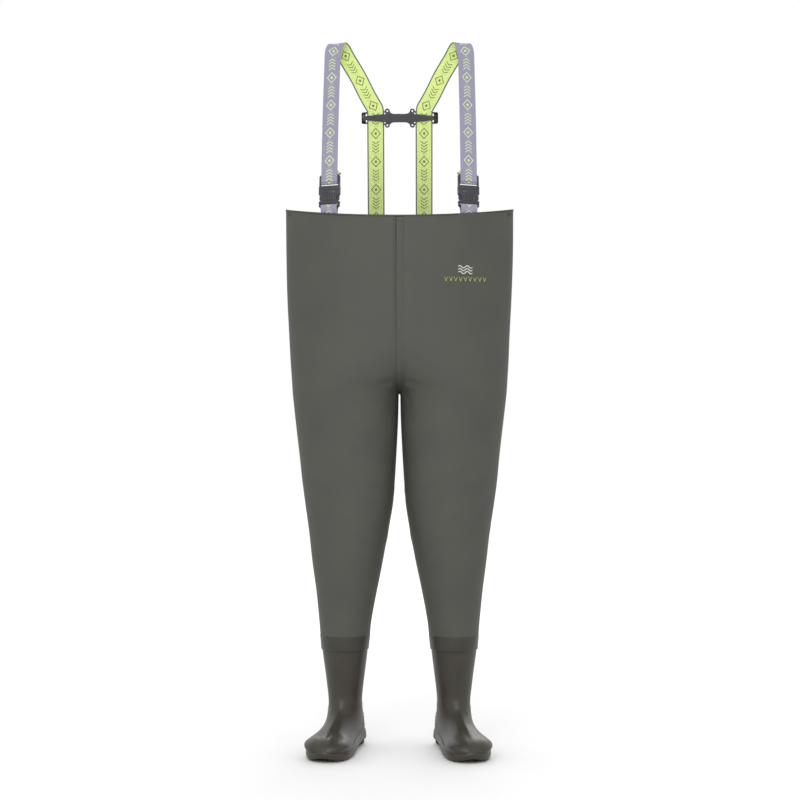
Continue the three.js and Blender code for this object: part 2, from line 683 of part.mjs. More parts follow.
// The connector in its own frame: X across the back, Y up the webbing, Z out of the wearer's side of the webbing.
function crossConnector() {
  const { inner, outer, rail, reach, end, bar, thick } = connector;
  const clear = webbing.thick / 2 + 0.35;
  const railLayer = [-clear - thick, -clear]; // rails behind the webbing, on the outer side of the back
  const barLayer = [clear, clear + thick]; // bar in front of it, on the wearer's side
  const fullLayer = [railLayer[0], barLayer[1]];
  const middle = backX - inner;
  const pieces = [plate(mirrored([[middle, -bar / 2], [middle, bar / 2]]), ...fullLayer)];
  for (const side of [1, -1]) {
    const point = ([offset, y]) => [side * (backX + offset), y];
    const piece = (points, layer) => {
      const outline = points.map(point);
      pieces.push(plate(side > 0 ? outline : outline.toReversed(), ...layer));
    };
    const near = -inner - rail;
    const far = outer + rail;
    // posts at both edges of the webbing
    piece([[near, -reach], [-inner, -reach], [-inner, reach], [near, reach]], fullLayer);
    piece([[outer, -end], [far, -end], [far, end], [outer, end]], fullLayer);
    // rails behind the webbing, above and below the bar
    for (const up of [1, -1]) {
      const rails = [[near, up * (reach - 4)], [far, up * (end - 4)], [far, up * end], [near, up * reach]];
      piece(up > 0 ? rails : rails.toReversed(), railLayer);
    }
    // tapered tongue in front of the webbing
    piece([[near, -bar / 2], [far, -4], [far, 4], [near, bar / 2]], barLayer);
  }
  const eyes = [1, -1].flatMap((side) => [1, -1].map((up) => [side * (backX - ear.offset), up * reach]));
  for (const [x, y] of eyes) pieces.push(disc(x, y, ear.radius, barLayer));
  const whole = pieces.reduce((sum, piece) => sum.add(piece));
  const holes = eyes.map(([x, y]) => disc(x, y, ear.hole, [-10, 10]));
  return fromManifold(holes.reduce((rest, hole) => rest.subtract(hole), whole));
}

// A flat disc as a manifold.
function disc(x, y, radius, [low, high]) {
  const shape = new THREE.Shape().absarc(x, y, radius, 0, 2 * Math.PI);
  const geometry = new THREE.ExtrudeGeometry(shape, { depth: high - low, bevelEnabled: false, curveSegments: 8 });
  return toManifold(geometry.translate(0, 0, low));
}

// ---------------------------------------------------------------- assembly

const waders = new THREE.Group();
const crestUnderside = crestHeight - webbing.thick / 2;
waders.position.z = -crestUnderside;

function add(name, geometry, material, parent = waders) {
  const mesh = new THREE.Mesh(geometry, material);
  mesh.name = name;
  parent.add(mesh);
}

add("rise_seam_tape", riseTape(), materials.tape);
add("crotch_gusset", crotchGusset(), materials.tape);
add("rim_binding", rimBinding(), materials.tape);

for (const [label, side] of [["left", 1], ["right", -1]]) {
  add(`torso_panel_${label}`, torsoPanel(side), materials.fabric);
  add(`hip_sleeve_${label}`, legTube(side, hipZone[0] + gap, hipZone[1] - gap, 3), materials.fabric);
  add(`thigh_panel_${label}`, legTube(side, kneeZone[1], hipZone[0], 2), materials.fabric);
  add(`knee_sleeve_${label}`, legTube(side, kneeZone[0] + gap, kneeZone[1] - gap, 4), materials.fabric);
  add(`shin_panel_${label}`, legTube(side, legHem, kneeZone[0], 4), materials.fabric);
  add(
    `weld_band_${label}`,
    legTube(side, weldBand.low, weldBand.high, 1, -gap - weldBand.wall, weldBand.wall),
    materials.tape,
  );
  add(`boot_upper_${label}`, bootUpper(side), materials.boot);
  add(`outsole_${label}`, outsole(side), materials.sole);
  add(`insole_${label}`, insole(side), materials.insole);

  add(`front_patch_${label}`, anchorPatch(side, braceX, -1), materials.tape);
  add(`back_patch_${label}`, anchorPatch(side, backX, 1), materials.tape);
  add(`anchor_strap_${label}`, anchorStrap(side), materials.webbing);
  add(`front_strap_${label}`, frontStrap(side), materials.webbing);
  add(`strap_tail_${label}`, strapTail(side), materials.webbing);
  add(`shoulder_strap_${label}`, shoulderStrap(side), materials.webbing);

  const line = frontLine(side);
  const doubled = webbing.thick + 0.3 + gap + 0.45;
  add(
    `front_stitching_${label}`,
    stitchBox(line.origin.clone().addScaledVector(line.outward, -doubled), line.outward),
    materials.thread,
  );
  const backFace = wallDepth(backX, rimWebHeight, behindPatch + webbing.thick + gap + 0.45);
  add(
    `back_stitching_${label}`,
    stitchBox(vector(side * backX, backFace, rimWebHeight), vector(side * 0.08, 1, 0).normalize()),
    materials.thread,
  );

  const holder = new THREE.Group();
  holder.applyMatrix4(new THREE.Matrix4().makeBasis(line.W, line.T, line.N).setPosition(line.origin));
  waders.add(holder);
  add(`female_buckle_${label}`, femaleBuckle(), materials.plastic, holder);
  add(`male_buckle_${label}`, maleBuckle(), materials.plastic, holder);
  add(`release_arm_outer_${label}`, releaseArm(side), materials.plastic, holder);
  add(`release_arm_inner_${label}`, releaseArm(-side), materials.plastic, holder);
}

// The connector lies square to the upright part of the back webbing.
const upBack = vector(0, -backTop.slope, 1).normalize();
const connectorBack = backTop.depth + backTop.slope * (backTop.height - connector.height);
const wearerSide = new THREE.Vector3().crossVectors(vector(1, 0, 0), upBack);
const carrier = new THREE.Group();
carrier.applyMatrix4(
  new THREE.Matrix4().makeBasis(vector(1, 0, 0), upBack, wearerSide).setPosition(0, connectorBack, connector.height),
);
waders.add(carrier);
add("cross_connector", crossConnector(), materials.plastic, carrier);

export default waders;
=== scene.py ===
import math

import bmesh
import bpy
import numpy as np
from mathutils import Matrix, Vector, noise


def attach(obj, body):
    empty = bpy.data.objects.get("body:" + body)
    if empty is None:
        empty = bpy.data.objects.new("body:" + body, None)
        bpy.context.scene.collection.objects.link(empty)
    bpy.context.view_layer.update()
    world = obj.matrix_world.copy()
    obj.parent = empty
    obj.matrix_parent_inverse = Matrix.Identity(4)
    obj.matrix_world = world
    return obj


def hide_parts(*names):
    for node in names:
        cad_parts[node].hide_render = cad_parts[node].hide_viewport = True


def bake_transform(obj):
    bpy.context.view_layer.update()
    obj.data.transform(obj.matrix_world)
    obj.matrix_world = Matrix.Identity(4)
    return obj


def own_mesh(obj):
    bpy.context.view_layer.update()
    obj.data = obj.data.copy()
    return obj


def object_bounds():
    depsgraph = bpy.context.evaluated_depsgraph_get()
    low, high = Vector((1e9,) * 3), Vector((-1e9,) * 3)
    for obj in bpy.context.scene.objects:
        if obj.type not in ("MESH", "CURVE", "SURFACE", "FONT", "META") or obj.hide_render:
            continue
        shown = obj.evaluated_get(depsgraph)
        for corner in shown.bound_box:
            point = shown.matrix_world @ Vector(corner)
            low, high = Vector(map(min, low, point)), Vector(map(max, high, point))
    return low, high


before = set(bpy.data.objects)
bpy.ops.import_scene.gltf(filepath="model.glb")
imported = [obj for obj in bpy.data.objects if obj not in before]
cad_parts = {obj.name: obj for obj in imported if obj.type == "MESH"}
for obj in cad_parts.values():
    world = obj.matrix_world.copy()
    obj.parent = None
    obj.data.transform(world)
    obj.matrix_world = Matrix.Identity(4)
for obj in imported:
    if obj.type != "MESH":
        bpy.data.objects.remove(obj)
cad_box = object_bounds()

# Chest waders. Sizes are in millimetres and heights are measured up from the ground under the boots, as a
# pattern cutter would write them; put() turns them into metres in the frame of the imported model.
# The wearer faces -Y, and "left" is the wearer's left, on +X.

GROUND = cad_box[0].z
MM = 0.001
SIDES = {"left": 1, "right": -1}

# ---------------------------------------------------------------- driving sizes

FABRIC = 0.9
RIM_HEIGHT = 1251
RIM_DIP = 22
CROTCH = 823
MID_THIGH = 620  # where the upper and lower lengths of each leg meet
LEG_HEM = 232
SEAM_GAP = 0.25  # each half stops this far from the middle
COLUMNS = 96  # points round each trouser half

# Height, outer side, inner side, half depth, side crease of one half of the torso and of one leg.
TORSO = [
    (823, 249, 0.2, 100, 1.0),
    (826, 249.2, -0.1, 100.4, 1.0),
    (831, 249.5, -1.8, 101, 1.0),
    (839, 250, -7.7, 102, 1.0),
    (847, 250.5, -17.6, 103, 1.0),
    (855, 251, -31, 104, 1.0),
    (900, 254, -105, 108, 1.0),
    (960, 257, -205, 110, 1.0),
    (1040, 261, -258, 110, 1.05),
    (1150, 264, -264, 108, 1.1),
    (RIM_HEIGHT, 265, -265, 105, 1.15),
]
LEG = [
    (225, 181, 73, 62, 1.0),
    (260, 184, 69, 62.5, 1.0),
    (293, 186.5, 65, 63, 1.0),
    (362, 193.5, 52.5, 67, 1.0),
    (432, 203, 38.5, 72, 1.0),
    (502, 211, 25.5, 77, 1.0),
    (572, 221, 14, 81, 1.0),
    (619, 227, 10, 84, 1.0),
    (689, 234, 6, 88, 1.0),
    (759, 242, 2.5, 93, 1.0),
    (823, 249, 0.6, 100, 1.0),
]

# Boots, ring by ring from the shaft's rim round the heel to the toe: front point (forward, height), back
# point, half width, shift to the big toe, flatness of the under half.
BOOT_RINGS = [
    (56, 262, -57, 262, 51, 0, 2),
    (55, 233, -57, 233, 49.4, 0, 2),
    (57, 228, -59, 228, 52.4, 0, 2),
    (51, 180, -56, 184, 46.5, 0, 2),
    (47, 146, -52, 148, 42, 0, 2),
    (45, 118, -51, 112, 38.5, 0, 2),
    (51, 99, -57, 80, 37.5, 0, 2.1),
    (63, 86, -65, 52, 38, 0, 2.4),
    (80, 77, -68, 32, 38, 0, 2.8),
    (100, 69, -52, 24, 38, 0, 3.2),
    (122, 62, -8, 22, 38.5, 0, 3.6),
    (142, 56, 42, 18, 43, 0, 4),
    (162, 52, 92, 14, 49, 1, 4),
    (181, 49, 134, 13, 51, 3, 4),
    (198, 43, 168, 14, 46, 6, 3.6),
    (209, 35, 192, 15.5, 35, 8, 3),
    (214, 26, 207, 18, 17, 9, 2.4),
]
BOOT_WALL = 3
TOE_OUT = math.radians(13.5)
ANKLE_X = 127
# Outsole: forward, half width, shift, top, underside of the plate.
SOLE_STATIONS = [
    (-71, 6, 0, 21, 16),
    (-69, 17, 0, 23, 14),
    (-60, 30.5, 0, 23.6, 13.5),
    (-46, 37, 0, 23.6, 13.5),
    (-8, 38.5, 0, 21.6, 13.5),
    (42, 43.5, 0, 17, 10),
    (92, 50.5, 1, 13, 6),
    (134, 52.5, 3, 12, 5),
    (168, 48, 6, 13, 6),
    (192, 38, 8, 14.5, 8),
    (208, 23, 9, 17, 11),
    (215.5, 7, 9, 18.5, 14),
]
HEEL_LUGS = {"rows": (-56, -42, -28, -14), "columns": (-22, 0, 22), "length": 9, "width": 17}
FORE_LUGS = {"rows": range(62, 171, 18), "columns": (-34, -12, 12, 34), "length": 11, "width": 17}

# Braces
WEB_WIDTH = 40
WEB_THICK = 1.6
BRACE_X = 160
BACK_X = 57
CREST = 1638
CAD_FABRIC = 2.4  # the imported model's fabric is thicker than the real one
GAP = 0.3  # left between layers
BOW = 0.5  # room for the wall's curve behind flat webbing
PATCH_WALL = 1.5
BEHIND_PATCH = CAD_FABRIC + GAP + BOW + PATCH_WALL + GAP + BOW  # from the fabric's outside to sewn webbing
ANCHOR_REACH = 52
RIM_WEB_HEIGHT = 1229
BACK_TOP = CREST - 147  # height where the back webbing becomes upright
BACK_DEPTH = 44.5
BACK_LEAN = 0.1997
CONNECTOR_DROP = 19  # from BACK_TOP down to the connector's middle
# Sideways, backwards, height, and the tilt of the outer face: 0 forwards, 90 up, 180 backwards.
BRACE_PATH = [
    (155, -24, CREST - 42, 8),
    (152, -15, CREST - 17, 35),
    (145, -2, CREST, 85),
    (135, 11, CREST - 8, 130),
    (123, 19, CREST - 31, 162),
    (98, 28.5, CREST - 72, 171),
    (78, 36, BACK_TOP + 36, 171),
    (63.5, 42, BACK_TOP + 11, 170),
    (58.4, BACK_DEPTH - 0.6, BACK_TOP + 2, 169),
    *[(BACK_X, BACK_DEPTH + BACK_LEAN * drop, BACK_TOP - drop, 169) for drop in (10, 41, 168)],
]
BAR = (20, 24.5)  # the buckle's lower bar, up the webbing from the rim
GRIP = (78, 82.5)
BUCKLE_TOP = 97
BUCKLE_FRAME = 5
OVER_BARS = BUCKLE_FRAME / 2 + 0.7 + WEB_THICK / 2  # webbing's middle, out from the middle of the bars
STRETCH_LOW = 80
FACES_APART = 100  # webbing's inner face is unwrapped this far to the side of its outer face


def put(x, y, z):
    """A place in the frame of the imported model, in metres."""
    return Vector((x / 1000, y / 1000, z / 1000 + GROUND))


def smooth_step(t):
    t = np.clip(t, 0, 1)
    return t * t * (3 - 2 * t)


# ---------------------------------------------------------------- materials


def linear(hex_colour):
    """An sRGB hex colour as linear red, green and blue, with an alpha of 1."""
    parts = [int(hex_colour[i : i + 2], 16) / 255 for i in (1, 3, 5)]
    return (*[c / 12.92 if c <= 0.04045 else ((c + 0.055) / 1.055) ** 2.4 for c in parts], 1.0)


def add_node(material, kind, inputs=None, stops=(), **settings):
    """Adds one node. Its inputs, by socket name or number, are plain values or sockets to link from. Stops
    are the positions and sRGB hex colours of a ramp."""
    made = material.node_tree.nodes.new(kind)
    for key, value in settings.items():
        setattr(made, key, value)
    for key, value in (inputs or {}).items():
        if isinstance(value, bpy.types.NodeSocket):
            material.node_tree.links.new(value, made.inputs[key])
        else:
            made.inputs[key].default_value = value
    for k, (position, colour) in enumerate(stops):
        made.color_ramp.elements[k].position = position
        made.color_ramp.elements[k].color = linear(colour)
    return made


def new_material(name, **finish):
    """A material with nothing but its shader; finish gives the shader's constant values."""
    material = bpy.data.materials.new(name)
    material.use_nodes = True
    shader = material.node_tree.nodes["Principled BSDF"]
    for key, value in finish.items():
        shader.inputs[key.replace("_", " ")].default_value = value
    return material


def connect(material, **sources):
    """Links sources to the shader's sockets of the same names."""
    shader = material.node_tree.nodes["Principled BSDF"]
    for key, source in sources.items():
        material.node_tree.links.new(source, shader.inputs[key.replace("_", " ")])


def surface_millimetres(material):
    """Across and along the surface in millimetres: every piece is unwrapped at its real size, in metres."""
    coordinates = add_node(material, "ShaderNodeTexCoord").outputs["UV"]
    scaled = add_node(material, "ShaderNodeVectorMath", {0: coordinates, "Scale": 1000.0}, operation="SCALE")
    return scaled.outputs[0]


def weave(material, place, pitch):
    """Height of a plain weave: rounded threads of the given pitch in millimetres, both ways."""
    split = add_node(material, "ShaderNodeSeparateXYZ", {0: place}).outputs
    waves = []
    for way in ("X", "Y"):
        phase = {0: split[way], 1: 2 * math.pi / pitch}
        turns = add_node(material, "ShaderNodeMath", phase, operation="MULTIPLY").outputs[0]
        waves.append(add_node(material, "ShaderNodeMath", {0: turns}, operation="SINE").outputs[0])
    return add_node(material, "ShaderNodeMath", dict(enumerate(waves)), operation="MULTIPLY").outputs[0]


def pvc_coated_polyester(name, colours, rough):
    """Polyester cloth under a calendered PVC skin: matte, even, with the cloth just showing through."""
    material = new_material(name, IOR=1.42)
    place = surface_millimetres(material)
    # The coat's tone drifts over patches of 90 mm, and it is smoother where it is thicker.
    cloud = add_node(
        material, "ShaderNodeTexNoise", {"Vector": place, "Scale": 1 / 90, "Detail": 3.0}
    ).outputs["Fac"]
    spread = {"Value": cloud, "From Min": 0.3, "From Max": 0.7}
    spread.update({"To Min": rough - 0.04, "To Max": rough + 0.05})
    roughness = add_node(material, "ShaderNodeMapRange", spread).outputs["Result"]
    # The base cloth has threads every 0.5 mm, drawn here at 1.8 mm so that they show, over a 4 mm grain.
    grain = add_node(
        material, "ShaderNodeTexNoise", {"Vector": place, "Scale": 1 / 4, "Detail": 4.0}
    ).outputs["Fac"]
    cloth = {0: weave(material, place, 1.8), 1: 0.25, 2: grain}
    height = add_node(material, "ShaderNodeMath", cloth, operation="MULTIPLY_ADD").outputs[0]
    relief = add_node(material, "ShaderNodeBump", {"Height": height, "Distance": 0.12 * MM, "Strength": 0.8})
    connect(
        material,
        Base_Color=add_node(
            material, "ShaderNodeValToRGB", {"Fac": cloud}, [(0.3, colours[0]), (0.7, colours[1])]
        ).outputs["Color"],
        Roughness=roughness,
        Normal=relief.outputs["Normal"],
    )
    return material


def knit_lining():
    """Brushed polyester backing, as seen inside the waders and over the insole: dull and slightly hairy."""
    material = new_material(
        "brushed polyester lining", Roughness=0.92, Sheen_Weight=0.25, Sheen_Roughness=0.5
    )
    place = surface_millimetres(material)
    # Brushing leaves tufts of about 12 mm.
    tufts = add_node(
        material, "ShaderNodeTexNoise", {"Vector": place, "Scale": 1 / 12, "Detail": 3.0}
    ).outputs["Fac"]
    # The knit has loops every 0.8 mm, drawn here at 1.6 mm so that they show.
    loops = {"Height": weave(material, place, 1.6), "Distance": 0.3 * MM}
    connect(
        material,
        Base_Color=add_node(
            material, "ShaderNodeValToRGB", {"Fac": tufts}, [(0.3, "#6A6B62"), (0.7, "#7A7B71")]
        ).outputs["Color"],
        Normal=add_node(material, "ShaderNodeBump", loops).outputs["Normal"],
    )
    return material


def moulded_pvc():
    """Injection-moulded PVC of the boots: satin, dark olive brown, with a thin gloss and faint ripples."""
    material = new_material("injection-moulded PVC boot", IOR=1.45, Coat_Weight=0.16, Coat_Roughness=0.2)
    place = surface_millimetres(material)
    # The melt's tone drifts over 60 mm, and the mould's surface shows in ripples of about 6 mm.
    cloud = add_node(
        material, "ShaderNodeTexNoise", {"Vector": place, "Scale": 1 / 60, "Detail": 3.0}
    ).outputs["Fac"]
    spread = {"Value": cloud, "From Min": 0.3, "From Max": 0.7, "To Min": 0.48, "To Max": 0.58}
    skin = add_node(
        material, "ShaderNodeTexNoise", {"Vector": place, "Scale": 0.16, "Detail": 3.0}
    ).outputs["Fac"]
    ripples = {"Height": skin, "Distance": 0.22 * MM, "Strength": 0.5}
    connect(
        material,
        Base_Color=add_node(
            material, "ShaderNodeValToRGB", {"Fac": cloud}, [(0.3, "#29261B"), (0.7, "#322E22")]
        ).outputs["Color"],
        Roughness=add_node(material, "ShaderNodeMapRange", spread).outputs["Result"],
        Normal=add_node(material, "ShaderNodeBump", ripples).outputs["Normal"],
    )
    return material


def outsole_rubber():
    """Vulcanised rubber outsole: nearly black and matte, scuffed paler in patches."""
    material = new_material("vulcanised rubber outsole")
    place = surface_millimetres(material)
    # Scuffs are about 18 mm across. The filler's grit of 0.2 mm is drawn at 1.1 mm.
    cloud = add_node(
        material, "ShaderNodeTexNoise", {"Vector": place, "Scale": 1 / 18, "Detail": 6.0}
    ).outputs["Fac"]
    spread = {"Value": cloud, "From Min": 0.3, "From Max": 0.7, "To Min": 0.55, "To Max": 0.75}
    grit = add_node(
        material, "ShaderNodeTexNoise", {"Vector": place, "Scale": 0.9, "Detail": 4.0}
    ).outputs["Fac"]
    pitting = {"Height": grit, "Distance": 0.2 * MM, "Strength": 0.6}
    connect(
        material,
        Base_Color=add_node(
            material, "ShaderNodeValToRGB", {"Fac": cloud}, [(0.3, "#2B2A26"), (0.7, "#3A3934")]
        ).outputs["Color"],
        Roughness=add_node(material, "ShaderNodeMapRange", spread).outputs["Result"],
        Normal=add_node(material, "ShaderNodeBump", pitting).outputs["Normal"],
    )
    return material


def woven_elastic():
    """Jacquard elastic webbing: lavender grey outside, yellow green inside with a grey selvedge, and a woven
    pattern of chevrons and lozenges in the other face's colour."""
    material = new_material("woven jacquard elastic", Roughness=0.85, Sheen_Weight=0.2, Sheen_Roughness=0.4)
    place = surface_millimetres(material)
    split = add_node(material, "ShaderNodeSeparateXYZ", {0: place}).outputs
    values = {"x": split["X"], "y": split["Y"]}
    steps = [
        # the inner face is unwrapped to the side of the outer one
        ("inner face", "GREATER_THAN", "x", FACES_APART / 2),
        ("shift", "MULTIPLY", "inner face", FACES_APART),
        ("across", "SUBTRACT", "x", "shift"),
        ("off middle", "ABSOLUTE", "across"),
        # the pattern repeats every 66 mm: four chevrons, 7 mm apart
        ("along", "FLOORED_MODULO", "y", 66),
        ("slant", "MULTIPLY_ADD", "off middle", 0.7, "along"),
        ("in stripe", "FLOORED_MODULO", "slant", 7),
        ("stripe", "LESS_THAN", "in stripe", 2.3),
        ("past start", "GREATER_THAN", "slant", 6.5),
        ("before end", "LESS_THAN", "slant", 35.5),
        ("narrow", "LESS_THAN", "off middle", 8),
        ("narrow stripe", "MULTIPLY", "stripe", "narrow"),
        ("row", "MULTIPLY", "past start", "before end"),
        ("chevrons", "MULTIPLY", "narrow stripe", "row"),
        # a lozenge of 24 by 27 mm with a dot in it
        ("from centre", "SUBTRACT", "along", 50),
        ("up or down", "ABSOLUTE", "from centre"),
        ("share along", "DIVIDE", "up or down", 13.5),
        ("share across", "DIVIDE", "off middle", 12),
        ("reach", "ADD", "share along", "share across"),
        ("lozenge", "COMPARE", "reach", 0.9, 0.11),
        ("dot", "LESS_THAN", "reach", 0.3),
        ("filled lozenge", "MAXIMUM", "lozenge", "dot"),
        ("motif", "MAXIMUM", "chevrons", "filled lozenge"),
        # the selvedge: the outer 3 mm of the inner face
        ("outer threads", "GREATER_THAN", "off middle", 17),
        ("selvedge", "MULTIPLY", "inner face", "outer threads"),
        # relief: weft ribs every 1.2 mm, warp threads every 1.6 mm, and the pattern's floats a little proud
        ("weft turns", "MULTIPLY", "y", 2 * math.pi / 1.2),
        ("weft", "SINE", "weft turns"),
        ("warp turns", "MULTIPLY", "across", 2 * math.pi / 1.6),
        ("warp", "SINE", "warp turns"),
        ("floats", "MULTIPLY", "motif", 0.6),
        ("weft on floats", "MULTIPLY_ADD", "weft", 0.5, "floats"),
        ("height", "MULTIPLY_ADD", "warp", 0.3, "weft on floats"),
    ]
    for result, operation, *operands in steps:
        inputs = {i: values.get(operand, operand) for i, operand in enumerate(operands)}
        values[result] = add_node(material, "ShaderNodeMath", inputs, operation=operation).outputs[0]
    # Yarn varies in tone over about 3 mm.
    yarn = add_node(
        material, "ShaderNodeTexNoise", {"Vector": place, "Scale": 0.35, "Detail": 5.0}
    ).outputs["Fac"]
    layers = [
        ("lavender", yarn, linear("#86849A"), linear("#8E8CA2")),
        ("lime", yarn, linear("#CDE088"), linear("#D0E38E")),
        ("outside", values["motif"], "lavender", linear("#C2CF96")),
        ("figured lime", values["motif"], "lime", linear("#6C7650")),
        ("inside", values["selvedge"], "figured lime", linear("#5E5F66")),
        ("webbing", values["inner face"], "outside", "inside"),
    ]
    colours = {}
    for result, share, first, second in layers:
        inputs = {0: share, 6: colours.get(first, first), 7: colours.get(second, second)}
        colours[result] = add_node(material, "ShaderNodeMix", inputs, data_type="RGBA").outputs[2]
    relief = add_node(material, "ShaderNodeBump", {"Height": values["height"], "Distance": 0.16 * MM})
    connect(material, Base_Color=colours["webbing"], Normal=relief.outputs["Normal"])
    return material


def acetal():
    """Injection-moulded acetal of the buckles: charcoal with a fine spark-eroded satin."""
    material = new_material("moulded acetal, spark-eroded satin", IOR=1.48)
    place = add_node(material, "ShaderNodeTexCoord").outputs["Object"]
    # The tone drifts over 17 mm. Spark erosion leaves pits of 0.05 mm, drawn at 0.4 mm.
    cloud = add_node(
        material, "ShaderNodeTexNoise", {"Vector": place, "Scale": 60.0, "Detail": 3.0}
    ).outputs["Fac"]
    spread = {"Value": cloud, "From Min": 0.3, "From Max": 0.7, "To Min": 0.34, "To Max": 0.46}
    pits = add_node(
        material, "ShaderNodeTexNoise", {"Vector": place, "Scale": 2500.0, "Detail": 2.0}
    ).outputs["Fac"]
    satin = {"Height": pits, "Distance": 0.05 * MM, "Strength": 0.4}
    connect(
        material,
        Base_Color=add_node(
            material, "ShaderNodeValToRGB", {"Fac": cloud}, [(0.0, "#2C2C31"), (1.0, "#37373C")]
        ).outputs["Color"],
        Roughness=add_node(material, "ShaderNodeMapRange", spread).outputs["Result"],
        Normal=add_node(material, "ShaderNodeBump", satin).outputs["Normal"],
    )
    return material


def sewing_thread():
    """Twisted polyester thread: charcoal, with the twist as slanting ribs, and painted shade darkening the
    grooves between the turns.
    """
    material = new_material("twisted polyester thread", Roughness=0.7)
    place = add_node(material, "ShaderNodeTexCoord").outputs["Object"]
    # One turn of the twist every 1.1 mm.
    ribs = {"Vector": place, "Scale": 900.0}
    twist = add_node(
        material, "ShaderNodeTexWave", ribs, wave_type="BANDS", bands_direction="DIAGONAL"
    ).outputs["Fac"]
    # The colour follows the twist's height. This is painted shade: darker in the grooves between the turns,
    # lighter on their crests.
    connect(
        material,
        Base_Color=add_node(
            material, "ShaderNodeValToRGB", {"Fac": twist}, [(0.0, "#2E2E33"), (1.0, "#4A4A50")]
        ).outputs["Color"],
        Normal=add_node(
            material, "ShaderNodeBump", {"Height": twist, "Distance": 0.1 * MM}
        ).outputs["Normal"],
    )
    return material


def screen_ink(name, colour):
    """Screen-printed ink: a thin opaque film, a little smoother than the fabric, with pinholes."""
    material = new_material(name, Roughness=0.5)
    place = surface_millimetres(material)
    film = add_node(
        material, "ShaderNodeTexNoise", {"Vector": place, "Scale": 1.2, "Detail": 5.0}
    ).outputs["Fac"]
    pinholes = {"Height": film, "Distance": 0.05 * MM, "Strength": 0.5}
    connect(
        material,
        Base_Color=add_node(
            material, "ShaderNodeValToRGB", {"Fac": film}, [(0.2, "#7C7D70"), (0.34, colour)]
        ).outputs["Color"],
        Normal=add_node(material, "ShaderNodeBump", pinholes).outputs["Normal"],
    )
    return material


FABRIC_SKIN = pvc_coated_polyester("PVC-coated polyester, calendered", ("#40413B", "#464740"), 0.62)
TAPE_SKIN = pvc_coated_polyester("PVC welding tape", ("#33342F", "#393A34"), 0.52)
BAND_SKIN = pvc_coated_polyester("PVC band, hot-welded", ("#2C2B22", "#33322A"), 0.42)
LINING = knit_lining()
BOOT_SKIN = moulded_pvc()
SOLE_SKIN = outsole_rubber()
WEBBING = woven_elastic()
ACETAL = acetal()
THREAD = sewing_thread()
PALE_INK = screen_ink("screen-printed ink, pale grey", "#BFC4B6")
LIME_INK = screen_ink("screen-printed ink, yellow green", "#B9D05E")


# ---------------------------------------------------------------- making meshes


def make_piece(name, points, faces, uvs, materials, face_materials=None):
    """A mesh piece from points in millimetres above the ground. Each face corner has a uv, also in mm."""
    mesh = bpy.data.meshes.new(name)
    mesh.from_pydata([tuple(put(*p)) for p in points], [], [tuple(f) for f in faces])
    layer = mesh.uv_layers.new(name="UVMap")
    flat = np.array([uv for face in uvs for uv in face], float) / 1000
    layer.data.foreach_set("uv", flat.ravel())
    for material in materials:
        mesh.materials.append(material)
    mesh.polygons.foreach_set("use_smooth", [True] * len(faces))
    if face_materials is not None:
        mesh.polygons.foreach_set("material_index", face_materials)
    piece = bpy.data.objects.new(name, mesh)
    bpy.context.scene.collection.objects.link(piece)
    weld_mesh(mesh)
    return piece


def weld_mesh(mesh):
    """Welds points that coincide, turns every face outwards and marks its edges of over 50 degrees sharp."""
    work = bmesh.new()
    work.from_mesh(mesh)
    bmesh.ops.remove_doubles(work, verts=work.verts, dist=2e-5)
    bmesh.ops.dissolve_degenerate(work, edges=work.edges, dist=1e-6)
    bmesh.ops.recalc_face_normals(work, faces=work.faces)
    for edge in work.edges:
        if len(edge.link_faces) == 2 and edge.calc_face_angle(0) > math.radians(50):
            edge.smooth = False
    work.to_mesh(mesh)
    work.free()


def grid_normals(grid, closed):
    """Unit normals of a grid of points, from its neighbours."""
    if closed:
        across = np.roll(grid, -1, 1) - np.roll(grid, 1, 1)
    else:
        across = np.gradient(grid, axis=1)
    along = np.gradient(grid, axis=0)
    normals = np.cross(across, along)
    return normals / np.maximum(np.linalg.norm(normals, axis=2, keepdims=True), 1e-9)


def arc_lengths(grid):
    """Distance along each row and up each column, in millimetres, for unwrapping at real size."""
    steps_across = np.linalg.norm(np.diff(grid, axis=1), axis=2)
    across = np.concatenate([np.zeros((grid.shape[0], 1)), np.cumsum(steps_across, axis=1)], axis=1)
    steps_along = np.linalg.norm(np.diff(grid, axis=0), axis=2).mean(axis=1)
    along = np.concatenate([[0], np.cumsum(steps_along)])
    return across - across[:, -1:] / 2, np.repeat(along[:, None], grid.shape[1], axis=1)


